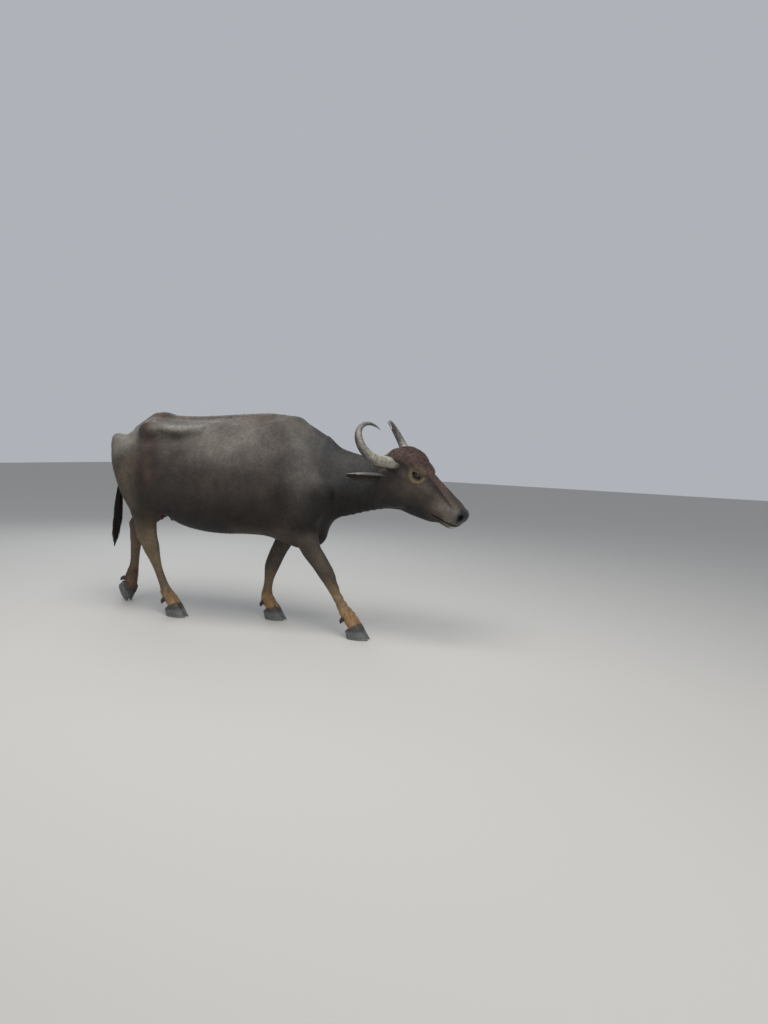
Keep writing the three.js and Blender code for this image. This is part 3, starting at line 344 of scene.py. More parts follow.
def nostrilField(s):
    u, y, v = nostrilPlace
    points = ((u + 34, (y + 16) * s, v - 5), (u + 14, (y + 5) * s, v), (u - 8, (y - 5) * s, v + 6),
              (u - 26, (y - 12) * s, v + 10))
    rows = [(*p, a, b) for p, (a, b) in zip(points, ((17, 13), (17, 12), (13, 9), (6, 5)))]
    return limbField(rows, 2)


# The opening between the lids, bounded by two arcs
def almond(q, s):
    half, high = eyeSize["halfLength"], eyeSize["halfHeight"]
    bow = (half**2 + high**2) / (2 * high)
    slant = math.radians(eyeSize["slant"])
    d = q - eyeCentres[s]
    along = d[:, 0] * math.cos(slant) - d[:, 2] * math.sin(slant)
    across = d[:, 0] * math.sin(slant) + d[:, 2] * math.cos(slant)
    upper = np.hypot(along, across + bow - high) - bow
    lower = np.hypot(along, across - bow + high) - bow
    return np.maximum(np.maximum(upper, lower), 6 - d[:, 1] * s)


nostrils = {s: nostrilField(s) for s in (-1, 1)}


# The height of the mouth's line along the muzzle, and how far a place is from it
def mouthDistance(q):
    level = np.interp(q[:, 0], (300, 350, 410, 452, 490), (-52, -46, -36, -27, -22))
    return np.maximum(np.abs(q[:, 2] - level), 300 - q[:, 0])


bridgeGrooves = {s: cordField([(165, 54 * s, 118), (230, 46 * s, 92), (300, 44 * s, 66), (370, 50 * s, 46)],
                              [9, 9, 8, 5]) for s in (-1, 1)}


def headField(p):
    q = toHead(p)
    f = join(face(q), forelock(q), 40)
    for forms in (rightFace, leftFace):
        f = join(f, forms["jaw"](q), 40)
        f = join(f, forms["cheekBone"](q), 22)
        f = join(f, forms["hornRoot"](q), 24)
        f = join(f, forms["earRoot"](q), 20)
        f = join(f, forms["brow"](q), 16)
        f = carve(f, forms["templeHollow"](q), 26)
        f = join(f, forms["nostrilWing"](q), 16)
        f = join(f, forms["lip"](q), 18)
    f = join(f, nosePad(q), 16)
    f = join(f, chin(q), 22)
    for s in (-1, 1):
        ball = np.linalg.norm(q - eyeCentres[s], axis=1)
        f = join(f, ball - eyeSize["radius"] - eyeSize["lid"], 9)
        ring = np.abs(ball - eyeSize["radius"] - 13) - 3
        f = f + eyeSize["ring"] * np.exp(-(np.maximum(ring, 0) / 4) ** 2) * smoothstep(60, 30, ball)
        f = carve(f, almond(q, s), 5)
        f = carve(f, ball - eyeSize["radius"] - 0.8, 1.5)
        f = carve(f, bridgeGrooves[s](q) + 7, 24)
        f = carve(f, nostrils[s](q), 5)
    slit = np.maximum(mouthDistance(q) - 2.2, -(f + 10))
    return carve(f, slit, 4)


def trunkField(p):
    f = join(trunk(p), spine(p), 50)
    f = join(f, brisket(p), 60)
    result = np.empty(len(p))
    for forms, m in ((rightTrunk, p[:, 1] < 0), (leftTrunk, p[:, 1] >= 0)):
        q, g = p[m], f[m]
        g = carve(g, forms["hollow"](q), 60)
        g = join(g, forms["shelf"](q), 70)
        g = carve(g, forms["rumpHollow"](q), 80)
        g = join(g, forms["hook"](q), 40)
        g = join(g, forms["pin"](q), 40)
        g = join(g, forms["thurl"](q), 60)
        result[m] = join(g, forms["blade"](q), 90)
    return result


# The planes where flesh ends and the claws begin: a place and the way up
coronets = {"fore_right": ((990, -116, 66), (-0.42, 0, 0.91)), "fore_left": ((340, 112, 66), (-0.34, 0, 0.94)),
            "hind_right": ((-236, -123, 64), (-0.38, 0, 0.92)), "hind_left": ((-742, 125, 108), (0.6, 0, 0.8))}
legForms = {"fore_right": rightFore, "fore_left": leftFore, "hind_right": rightHind, "hind_left": leftHind}


def legsField(p):
    f = np.empty(len(p))
    for name, leg in legForms.items():
        m = ((p[:, 0] > 200) == ("fore" in name)) & ((p[:, 1] < 0) == ("right" in name))
        q = p[m]
        if "arm" in leg:
            g = join(leg["arm"](q), leg["triceps"](q), 50)
            f[m] = join(g, leg["shank"](q), 40)
        else:
            g = join(leg["thigh"](q), leg["ham"](q), 50)
            g = join(g, leg["shank"](q), 44)
            f[m] = join(g, leg["heel"](q), 16)
        place, way = (np.array(v) for v in coronets[name])
        f[m] = carve(f[m], (q - place) @ way + 3, 12)
    return f


tailPath = [(-672, 0, 1120), (-700, 0, 1118), (-728, 0, 1080), (-752, 0, 985), (-752, 0, 890), (-748, 0, 800),
            (-750, 0, 740)]
tail = cordField(tailPath, [26, 26, 23, 19, 16, 13, 12])


def teatField(x, y):
    path = [(x, y, 700), (x, y * 1.05, 640), (x + 3, y * 1.08, 606), (x + 4, y * 1.1, 586)]
    return cordField(path, [15, 13, 11, 8])


teats = [teatField(x, y) for x in (-392, -322) for y in (-42, 42)]


def fleshField(p):
    x = p[:, 0]
    f = np.full(len(p), np.inf)
    m = x < 1000
    f[m] = trunkField(p[m])
    m = x > 420
    f[m] = join(f[m], neck(p[m]), 90)
    m = x < 1060
    f[m] = join(f[m], legsField(p[m]), 70)
    m = (x < -150) & (x > -520) & (p[:, 2] < 860)
    udder = udderSwell(p[m])
    for teat in teats:
        udder = join(udder, teat(p[m]), 12)
    f[m] = join(f[m], udder, 20)
    m = x < -600
    f[m] = join(f[m], tail(p[m]), 18)
    m = x > 980
    f[m] = join(f[m], headField(p[m]), 50)
    return f


# Folds and ribs, in millimetres of depth
folds = {"rib": 0.7, "neckFold": 1.8, "axilla": 3.2}


def relief(p):
    x, y, z = p.T
    ribs = np.sin((x + 0.25 * (z - 900)) / 62 * 2 * math.pi) * smoothstep(-260, -60, x) * smoothstep(420, 260, x)
    ribs *= smoothstep(600, 760, z) * smoothstep(1180, 1040, z)
    wave = np.sin((x - 0.35 * (z - 900)) / 38 * 2 * math.pi + np.sin(z / 47) * 1.3)
    neckFolds = wave * smoothstep(820, 900, x) * smoothstep(1130, 1050, x) * smoothstep(1040, 900, z)
    creases = np.sin((x * 0.5 + z) / 17 * 2 * math.pi / 1.6)
    armpit = np.exp(-((x - 610) / 70) ** 2 - ((z - 640) / 90) ** 2) * (np.abs(y) > 90)
    return folds["rib"] * ribs + folds["neckFold"] * neckFolds + folds["axilla"] * creases * armpit


def eyeDistance(q):
    return np.minimum(*(np.linalg.norm(q - eyeCentres[s], axis=1) for s in (-1, 1)))


coatDepth = {"body": 3.0, "head": 1.2}


# The skin lies inside the source's form by the depth of the coat, and fully out round the eyes
def skinField(p):
    depth = coatDepth["body"] + (coatDepth["head"] - coatDepth["body"]) * smoothstep(1040, 1140, p[:, 0])
    depth *= smoothstep(40, 65, eyeDistance(toHead(p)))
    return fleshField(p) + depth + relief(p)


# The skin's grid: cells of this size on the body, drawn together towards the head
skinSize = {"cell": 11.6, "headShare": 0.54, "headCentre": 950, "from": (-870, -392, -14),
            "to": (1690, 392, 1430)}


def share(x):
    return 1 - (1 - skinSize["headShare"]) * smoothstep(960, 1180, x)


def gridLines():
    xs = [skinSize["from"][0]]
    while xs[-1] < skinSize["to"][0]:
        xs.append(xs[-1] + skinSize["cell"] * share(np.array(xs[-1])))
    ys, zs = (np.arange(skinSize["from"][c], skinSize["to"][c], skinSize["cell"]) for c in (1, 2))
    return np.array(xs), ys, zs


def slopeOf(field, p, e=0.8):
    return np.stack([(field(p + d) - field(p - d)) / (2 * e) for d in np.eye(3) * e], axis=1)


# Moves places onto the surface of a field, by no more than a share of a cell
def settle(field, p, most, turns=2):
    start = p.copy()
    for _ in range(turns):
        slope = slopeOf(field, p)
        steep = np.maximum((slope**2).sum(axis=1), 0.05)
        p = p - 0.95 * (field(p) / steep)[:, None] * slope
        away = p - start
        length = np.linalg.norm(away, axis=1, keepdims=True)
        p = start + away * np.minimum(1, most[:, None] / np.maximum(length, 1e-9))
    return p


# A closed mesh of quads on a grid of places, one vertex to each cell that the surface crosses
def netMesh(field):
    xs, ys, zs = gridLines()
    n = (len(xs), len(ys), len(zs))
    centre = skinSize["headCentre"]

    def place(i, j, k):
        x = np.interp(i, np.arange(n[0]), xs)
        s = share(x)
        y = np.interp(j, np.arange(n[1]), ys) * s
        z = centre + (np.interp(k, np.arange(n[2]), zs) - centre) * s
        return np.stack([x, y, z], axis=-1)

    block = 4
    blocks = [np.arange((size + block - 1) // block) for size in n]
    bi, bj, bk = (a.ravel() for a in np.meshgrid(*blocks, indexing="ij"))
    middle = place(*(a * block + block / 2 - 0.5 for a in (bi, bj, bk)))
    rough = field(middle)
    near = np.abs(rough) < block * skinSize["cell"] * share(middle[:, 0]) * 1.5
    values = np.empty(n, np.float32)
    whole = np.sign(rough).reshape([len(b) for b in blocks]) * 50
    values[:] = whole.repeat(block, 0).repeat(block, 1).repeat(block, 2)[:n[0], :n[1], :n[2]]
    step = np.arange(block)
    oi, oj, ok = (a.ravel() for a in np.meshgrid(step, step, step, indexing="ij"))
    i, j, k = ((b[near][:, None] * block + o).ravel() for b, o in ((bi, oi), (bj, oj), (bk, ok)))
    inside = (i < n[0]) & (j < n[1]) & (k < n[2])
    i, j, k = i[inside], j[inside], k[inside]
    values[i, j, k] = field(place(i, j, k))
    values[[0, -1]] = values[:, [0, -1]] = values[:, :, [0, -1]] = 50

    low = values < 0
    corners = np.array([(c & 1, (c >> 1) & 1, c >> 2) for c in range(8)])
    total = sum(low[a:n[0] - 1 + a, b:n[1] - 1 + b, c:n[2] - 1 + c].astype(np.int8) for a, b, c in corners)
    cells = np.argwhere((total > 0) & (total < 8))
    v = np.stack([values[tuple((cells + c).T)] for c in corners], axis=1)
    spots, crossings = np.zeros((len(cells), 3)), np.zeros(len(cells))
    for a in range(8):
        for b in range(a + 1, 8):
            if np.abs(corners[a] - corners[b]).sum() == 1:
                m = (v[:, a] < 0) != (v[:, b] < 0)
                t = v[m, a] / (v[m, a] - v[m, b])
                spots[m] += corners[a] + (corners[b] - corners[a]) * t[:, None]
                crossings[m] += 1
    spots = place(*(cells + spots / crossings[:, None]).T)
    number = np.full([size - 1 for size in n], -1)
    number[tuple(cells.T)] = np.arange(len(cells))
    quads = []
    rings = {0: ((0, -1, -1), (0, 0, -1), (0, 0, 0), (0, -1, 0)),
             1: ((-1, 0, -1), (-1, 0, 0), (0, 0, 0), (0, 0, -1)),
             2: ((-1, -1, 0), (0, -1, 0), (0, 0, 0), (-1, 0, 0))}
    for axis, ring in rings.items():
        ahead = np.roll(low, -1, axis)
        change = low != ahead
        change[tuple(slice(-1, None) if c == axis else slice(None) for c in range(3))] = False
        at = np.argwhere(change)
        quad = np.stack([number[tuple((at + r).T)] for r in ring], axis=1)
        back = ~low[tuple(at.T)]
        quad[back] = quad[back][:, ::-1]
        quads.append(quad)
    return spots, np.concatenate(quads)


# Evens out a mesh between its neighbours and sets it on the field again
def relax(field, spots, faces, most, passes=2):
    sides = faces.shape[1]
    edges = np.concatenate([faces[:, [a, (a + 1) % sides]] for a in range(sides)])
    count = np.bincount(edges.ravel(), minlength=len(spots))
    for _ in range(passes):
        total = np.zeros_like(spots)
        for c in range(3):
            total[:, c] = (np.bincount(edges[:, 0], spots[edges[:, 1], c], len(spots))
                           + np.bincount(edges[:, 1], spots[edges[:, 0], c], len(spots)))
        spots = settle(field, spots + 0.5 * (total / count[:, None] - spots), most, 1)
    return spots


# Splits the triangles between chosen spots into four, and their neighbours so that no gap opens
def refine(spots, tris, chosen):
    edges = np.sort(np.concatenate([tris[:, [0, 1]], tris[:, [1, 2]], tris[:, [2, 0]]]), axis=1)
    keys, index = np.unique(edges[:, 0] * len(spots) + edges[:, 1], return_inverse=True)
    ends = np.stack([keys // len(spots), keys % len(spots)], axis=1)
    split = chosen[ends].all(axis=1)
    number = np.where(split, len(spots) + np.cumsum(split) - 1, -1)
    spots = np.concatenate([spots, spots[ends[split]].mean(axis=1)])
    middle = number[index.reshape(3, -1).T]
    count = (middle >= 0).sum(axis=1)
    made = [tris[count == 0]]
    t, m = tris[count == 3], middle[count == 3]
    made += [np.stack(s, axis=1) for s in ((t[:, 0], m[:, 0], m[:, 2]), (t[:, 1], m[:, 1], m[:, 0]),
                                           (t[:, 2], m[:, 2], m[:, 1]), (m[:, 0], m[:, 1], m[:, 2]))]
    for turn in range(3):
        a, b, c = (np.roll(np.arange(3), -turn)[n] for n in range(3))
        only = (count == 1) & (middle[:, a] >= 0)
        t, m = tris[only], middle[only]
        made += [np.stack(s, axis=1) for s in ((m[:, a], t[:, c], t[:, a]), (m[:, a], t[:, b], t[:, c]))]
        pair = (count == 2) & (middle[:, c] < 0)
        t, m = tris[pair], middle[pair]
        made += [np.stack(s, axis=1) for s in ((m[:, a], t[:, b], m[:, b]), (t[:, a], m[:, a], m[:, b]),
                                               (t[:, a], m[:, b], t[:, c]))]
    return spots, np.concatenate(made)


def triangles(spots, quads):
    across = np.linalg.norm(spots[quads[:, 0]] - spots[quads[:, 2]], axis=1)
    other = np.linalg.norm(spots[quads[:, 1]] - spots[quads[:, 3]], axis=1)
    ring = np.where((across <= other)[:, None], quads, np.roll(quads, -1, axis=1))
    return np.concatenate([ring[:, [0, 1, 2]], ring[:, [0, 2, 3]]])


spots, quads = netMesh(skinField)
reach = 0.6 * skinSize["cell"] * share(spots[:, 0])
spots = settle(skinField, spots, reach)
spots = relax(skinField, spots, quads, reach)
tris = triangles(spots, quads)
for level in (1, 2):
    q = toHead(spots)
    fine = (eyeDistance(q) < 70 / level) | ((mouthDistance(q) < 12 / level) & (spots[:, 0] > 1300))
    fine |= np.minimum(nostrils[-1](q), nostrils[1](q)) < 30 / level
    spots, tris = refine(spots, tris, fine)
    fine = np.append(fine, np.ones(len(spots) - len(fine), bool))
    small = skinSize["cell"] * skinSize["headShare"] * 0.4 / level
    used, faces = np.unique(tris[fine[tris].any(axis=1)], return_inverse=True)
    moved = relax(skinField, spots[used], faces.reshape(-1, 3), np.full(len(used), small), 2)
    spots[used[fine[used]]] = moved[fine[used]]
print("skin found:", len(tris), "triangles")

# From the source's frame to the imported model's, by the place of an eye
shift = np.mean([tuple(c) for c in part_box("eye_right")], axis=0) / mm - inHead(eyeAhead, -eyeAside, eyeUp)


def toPart(p):
    return (np.asarray(p) + shift) * mm


def makeObject(name, places, faces, material, attributes=None):
    mesh = bpy.data.meshes.new(name)
    faces = np.asarray(faces)
    mesh.vertices.add(len(places))
    mesh.vertices.foreach_set("co", np.asarray(places, np.float32).ravel())
    mesh.loops.add(faces.size)
    mesh.loops.foreach_set("vertex_index", faces.astype(np.int32).ravel())
    mesh.polygons.add(len(faces))
    mesh.polygons.foreach_set("loop_start", np.arange(len(faces), dtype=np.int32) * faces.shape[1])
    mesh.update(calc_edges=True)
    mesh.polygons.foreach_set("use_smooth", np.ones(len(faces), bool))
    for key, values in (attributes or {}).items():
        values = np.asarray(values, np.float32)
        if values.ndim == 1:
            mesh.attributes.new(key, "FLOAT", "POINT").data.foreach_set("value", values)
        elif key.endswith("Colour"):
            rgba = np.concatenate([values, np.ones((len(values), 1), np.float32)], axis=1)
            mesh.attributes.new(key, "FLOAT_COLOR", "POINT").data.foreach_set("color", rgba.ravel())
        else:
            mesh.attributes.new(key, "FLOAT_VECTOR", "POINT").data.foreach_set("vector", values.ravel())
    mesh.materials.append(material)
    obj = bpy.data.objects.new(name, mesh)
    scene.collection.objects.link(obj)
    return obj


def finishPiece(obj, slotName, *nodes):
    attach(obj, "root")
    if nodes:
        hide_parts(*nodes)


# The colours of her coat, with painted light and shade among them, as named colours laid over each other from the
# belly up and from the back to the nose
coatColours = {
    "bellyAndShade": (0.014, 0.010, 0.008), "flank": (0.036, 0.028, 0.023), "upperFlankDustAndLight": (0.100, 0.088, 0.078),
    "back": (0.070, 0.055, 0.044), "rump": (0.150, 0.140, 0.118), "redBand": (0.060, 0.034, 0.028),
    "shoulder": (0.070, 0.065, 0.060), "neck": (0.029, 0.028, 0.028), "throatAndShade": (0.010, 0.009, 0.008),
    "thigh": (0.030, 0.022, 0.016), "thighLight": (0.086, 0.067, 0.048), "armpit": (0.050, 0.033, 0.027),
    "foreLeg": (0.055, 0.042, 0.032), "foreCannon": (0.165, 0.116, 0.063), "hindLeg": (0.12, 0.09, 0.055),
    "rust": (0.33, 0.19, 0.085), "darkRustAndShade": (0.11, 0.065, 0.038), "brow": (0.062, 0.036, 0.030),
    "cheek": (0.034, 0.026, 0.022), "faceLight": (0.080, 0.062, 0.045), "eyeRing": (0.125, 0.095, 0.058),
    "lidEdge": (0.008, 0.007, 0.006), "noseSide": (0.100, 0.080, 0.066), "nosePad": (0.014, 0.014, 0.016),
    "lip": (0.090, 0.084, 0.068), "lipSpot": (0.50, 0.46, 0.38), "jaw": (0.017, 0.014, 0.013),
    "udder": (0.085, 0.045, 0.036), "teat": (0.11, 0.035, 0.028), "tail": (0.035, 0.030, 0.028),
    "earBack": (0.17, 0.165, 0.148), "earCup": (0.022, 0.015, 0.013), "earRim": (0.060, 0.046, 0.040),
}


def hill(value, middle, width):
    return np.exp(-((value - middle) / width) ** 2)


def noise(p, size, seed):
    state = np.random.default_rng(seed)
    total = np.zeros(len(p))
    for _ in range(10):
        way = state.normal(size=3)
        level = p @ way / np.linalg.norm(way)
        total += np.sin(level * (2 * math.pi / size) * state.uniform(0.6, 1.6) + state.uniform(0, 9))
    return total / 3.2


# The colour of the coat at each place, with painted light and shade in it, and how wet it is
def coatWithPaintedLight(p):
    x, y, z = p.T
    q = toHead(p)
    u, w, v = q.T
    side = np.abs(y)
    # the base colour is the belly's dark tone, partly its own and partly painted shade under her
    colour = np.tile(coatColours["bellyAndShade"], (len(p), 1))

    def lay(name, amount):
        m = np.clip(amount, 0, 1)[:, None]
        colour[:] = colour + (np.array(coatColours[name]) - colour) * m

    body = smoothstep(1185, 1030, x)
    lay("flank", smoothstep(640, 880, z))
    # painted light: the upper flank is lighter partly from dust and partly as painted sunlight
    lay("upperFlankDustAndLight", smoothstep(900, 1120, z) * (0.6 + 0.4 * np.sin(x / 170 + 0.8)))
    lay("back", smoothstep(1180, 1260, z) * smoothstep(150, 40, side))
    lay("shoulder", 0.8 * hill(x, 640, 120) * smoothstep(760, 980, z))
    lay("armpit", 0.9 * hill(x, 545, 70) * hill(z, 625, 80) * smoothstep(80, 140, side))
    lay("bellyAndShade", 0.8 * hill(x, 520, 60) * hill(z, 800, 130))
    lay("thigh", smoothstep(-250, -340, x) * smoothstep(1060, 900, z))
    lay("thighLight", smoothstep(-400, -500, x) * hill(z, 860, 170))
    # the rump's top is light grey, partly its own colour and partly painted sunlight
    lay("rump", smoothstep(-400, -560, x) * smoothstep(940, 1120, z) * 0.9)
    band = hill(x + 0.14 * (z - 1217), -385, 38) * smoothstep(780, 900, z)
    lay("redBand", (0.7 + 0.3 * noise(p, 90, 5)) * band)
    # painted highlight: a light streak along the ridge of the short ribs, in the rump's colour
    lay("rump", 0.8 * smoothstep(-400, -330, x) * smoothstep(0, -60, x) * hill(z, 1190, 22))
    # painted shadow: a dark patch in the hollow of the flank below that ridge
    lay("bellyAndShade", 0.75 * hill(x, -165, 70) * hill(z, 1140, 20))
    lay("bellyAndShade", 0.6 * hill(x, -350, 60) * hill(z, 715, 60) * (side > 120))
    lay("neck", smoothstep(690, 790, x + 0.35 * (z - 1000)) * body)
    # the throat and the underside of the brisket are dark, partly their own colour and partly painted shade
    lay("throatAndShade", smoothstep(940, 810, z) * smoothstep(640, 760, x) * body)
    lay("throatAndShade", 0.7 * smoothstep(580, 660, x) * smoothstep(700, 600, z) * smoothstep(130, 80, side))
    hind = smoothstep(-150, -230, x) * (side > 60)
    fore = smoothstep(150, 230, x) * (side > 60)
    lay("hindLeg", hind * smoothstep(640, 480, z))
    lay("foreLeg", fore * smoothstep(640, 560, z))
    # painted shade: the far fore cannon gets less of the light tan than the near one
    lay("foreCannon", fore * smoothstep(370, 270, z) * np.where(y < 0, 1, 0.6))
    lay("rust", fore * smoothstep(205, 120, z) * 0.85)
    lay("rust", hind * (y < 0) * smoothstep(190, 110, z) * 0.8)
    # the far hind leg's lower part: rust, darkened further by painted shade
    lay("darkRustAndShade", hind * (y > 0) * smoothstep(330, 210, z))
    bag = smoothstep(-500, -440, x) * smoothstep(-190, -250, x)
    lay("udder", bag * smoothstep(700, 655, z) * (side < 105))
    lay("teat", bag * smoothstep(655, 620, z) * (side < 60))
    lay("tail", smoothstep(-715, -735, x) * (side < 40) * smoothstep(1120, 1000, z))
    lay("tail", smoothstep(-640, -690, x) * hill(y, 0, 26) * smoothstep(700, 760, z))
    head = 1 - body
    lay("cheek", head)
    lay("neck", head * smoothstep(40, -60, u) * smoothstep(-40, 60, v) * 0.6)
    lay("jaw", head * smoothstep(-30, -90, v) * smoothstep(330, 250, u))
    lay("faceLight", head * hill(u, 150, 75) * hill(v, 40, 55) * 0.8)
    lay("noseSide", head * smoothstep(230, 320, u) * hill(v, 22, 46))
    lay("brow", head * smoothstep(110, 142, v) * smoothstep(250, 150, u))
    bridge = smoothstep(60, 20, np.abs(w)) * smoothstep(180, 240, u) * smoothstep(330, 260, u) * (v > 40)
    lay("brow", head * bridge)
    # painted shade in the hollow under the horn root, behind the temple
    lay("throatAndShade", head * hill(u, -10, 32) * hill(np.abs(w), 106, 40) * hill(v, 70, 40) * 0.7)
    # painted shade in the grooves along the bridge of the nose
    groove = np.minimum(bridgeGrooves[-1](q), bridgeGrooves[1](q))
    lay("throatAndShade", head * smoothstep(16, -6, groove) * 0.38)
    lay("lip", head * smoothstep(350, 390, u) * smoothstep(20, -20, v))
    lay("nosePad", head * smoothstep(5, 2, mouthDistance(q)))
    lay("lipSpot", head * smoothstep(412, 426, u) * hill(v, -50, 15) * smoothstep(44, 30, np.abs(w)))
    pad = head * smoothstep(424, 446, u + 0.25 * (v - 30)) * smoothstep(-16, 0, v)
    lay("nosePad", pad)
    lay("nosePad", head * smoothstep(6, -4, np.minimum(nostrils[-1](q), nostrils[1](q))))
    eye = eyeDistance(q)
    lay("eyeRing", head * hill(eye, 42, 13) * 0.9)
    lay("throatAndShade", head * hill(eye, 55, 5) * 0.45 * (v < 105))
    d = np.minimum(*(almond(q, s) for s in (-1, 1)))
    lay("lidEdge", head * smoothstep(8, 3, d) * (eye < 40))
    return colour, pad


# Materials are built from nodes by these few helpers


def newMaterial(name):
    material = bpy.data.materials.new(name)
    material.use_nodes = True
    nodes, links = material.node_tree.nodes, material.node_tree.links
    shader = nodes["Principled BSDF"]
    return material, nodes, links, shader


def addNode(nodes, kind, **settings):
    node = nodes.new(kind)
    for key, value in settings.items():
        if key in node.inputs:
            node.inputs[key].default_value = value
        else:
            setattr(node, key, value)
    return node


def noiseOf(nodes, links, vector, scale, detail=4, roughness=0.55):
    node = addNode(nodes, "ShaderNodeTexNoise")
    node.inputs["Scale"].default_value = scale
    node.inputs["Detail"].default_value = detail
    node.inputs["Roughness"].default_value = roughness
    links.new(vector, node.inputs["Vector"])
    return node.outputs["Fac"]


def mathOf(nodes, links, operation, a, b=0.0, clamp=False):
    node = nodes.new("ShaderNodeMath")
    node.operation, node.use_clamp = operation, clamp
    for socket, value in zip(node.inputs, (a, b)):
        if hasattr(value, "node"):
            links.new(value, socket)
        else:
            socket.default_value = value
    return node.outputs[0]


def mapOf(nodes, links, vector, scale, turn=(0, 0, 0)):
    node = nodes.new("ShaderNodeMapping")
    node.inputs["Scale"].default_value = scale
    node.inputs["Rotation"].default_value = turn
    links.new(vector, node.inputs["Vector"])
    return node.outputs[0]


def brighten(nodes, links, colour, amount):
    mix = nodes.new("ShaderNodeMix")
    mix.data_type, mix.blend_type = "RGBA", "MULTIPLY"
    mix.inputs["Factor"].default_value = 1
    links.new(colour, mix.inputs[6])
    links.new(amount, mix.inputs[7])
    return mix.outputs[2]


def bumpOf(nodes, links, height, strength, distance, below=None):
    node = nodes.new("ShaderNodeBump")
    node.inputs["Strength"].default_value = strength
    node.inputs["Distance"].default_value = distance
    links.new(height, node.inputs["Height"])
    if below:
        links.new(below, node.inputs["Normal"])
    return node.outputs[0]


def remap(nodes, links, value, low, high, toLow, toHigh):
    node = nodes.new("ShaderNodeMapRange")
    for socket, number in zip(node.inputs[1:5], (low, high, toLow, toHigh)):
        socket.default_value = number
    links.new(value, node.inputs[0])
    return node.outputs[0]


hideLook = {"mottleSize": 9, "patchSize": 55, "creaseSize": 210, "creaseDepth": 0.0006, "hairDepth": 0.0016,
            "patchDepth": 0.003, "slope": -32, "wetShine": 0.3, "specular": 0.3}


def hideMaterial():
    material, nodes, links, shader = newMaterial("hide")
    place = nodes.new("ShaderNodeTexCoord").outputs["Object"]
    colour = addNode(nodes, "ShaderNodeAttribute", attribute_name="coatColour").outputs["Color"]
    wet = addNode(nodes, "ShaderNodeAttribute", attribute_name="wet").outputs["Fac"]
    upright = addNode(nodes, "ShaderNodeAttribute", attribute_name="upright").outputs["Fac"]
    # short hair lies back and down on the body, and straight down on the legs
    sloped = mapOf(nodes, links, place, (60, 420, 420), (0, math.radians(hideLook["slope"]), 0))
    bodyHair = noiseOf(nodes, links, sloped, 1.0, 3)
    legHair = noiseOf(nodes, links, mapOf(nodes, links, place, (480, 480, 60)), 1.0, 3)
    pick = nodes.new("ShaderNodeMix")
    links.new(upright, pick.inputs[0])
    links.new(bodyHair, pick.inputs[2])
    links.new(legHair, pick.inputs[3])
    hair = pick.outputs[0]
    mottle = noiseOf(nodes, links, place, hideLook["mottleSize"], 6, 0.6)
    patch = noiseOf(nodes, links, place, hideLook["patchSize"], 5, 0.6)
    amount = mathOf(nodes, links, "MULTIPLY", remap(nodes, links, mottle, 0.3, 0.7, 0.62, 1.38),
                    remap(nodes, links, patch, 0.3, 0.7, 0.82, 1.18))
    amount = mathOf(nodes, links, "MULTIPLY", amount, remap(nodes, links, hair, 0.3, 0.7, 0.66, 1.36))
    links.new(brighten(nodes, links, colour, amount), shader.inputs["Base Color"])
    crease = addNode(nodes, "ShaderNodeTexVoronoi", feature="DISTANCE_TO_EDGE")
    crease.inputs["Scale"].default_value = hideLook["creaseSize"]
    links.new(place, crease.inputs["Vector"])
    edge = remap(nodes, links, crease.outputs["Distance"], 0.0, 0.25, 0, 1)
    bump = bumpOf(nodes, links, edge, 0.25, hideLook["creaseDepth"])
    bump = bumpOf(nodes, links, hair, 0.55, hideLook["hairDepth"], bump)
    bump = bumpOf(nodes, links, patch, 0.35, hideLook["patchDepth"], bump)
    links.new(bump, shader.inputs["Normal"])
    rough = remap(nodes, links, hair, 0.3, 0.7, 0.72, 0.50)
    shine = mathOf(nodes, links, "MULTIPLY", wet, hideLook["wetShine"])
    links.new(mathOf(nodes, links, "SUBTRACT", rough, shine, True), shader.inputs["Roughness"])
    shader.inputs["Specular IOR Level"].default_value = hideLook["specular"]
    return material


hide = hideMaterial()

# Ears: long leaves rolled into cups, open forwards and down
earSize = {"length": 248, "width": 56, "thickness": 6.5, "bend": 26, "stations": 44, "across": 26}
earRoot = (-46, 78, 4)
earWays = {"out": (-0.7, 0.66, -0.24), "back": (-0.28, -0.62, 0.72)}


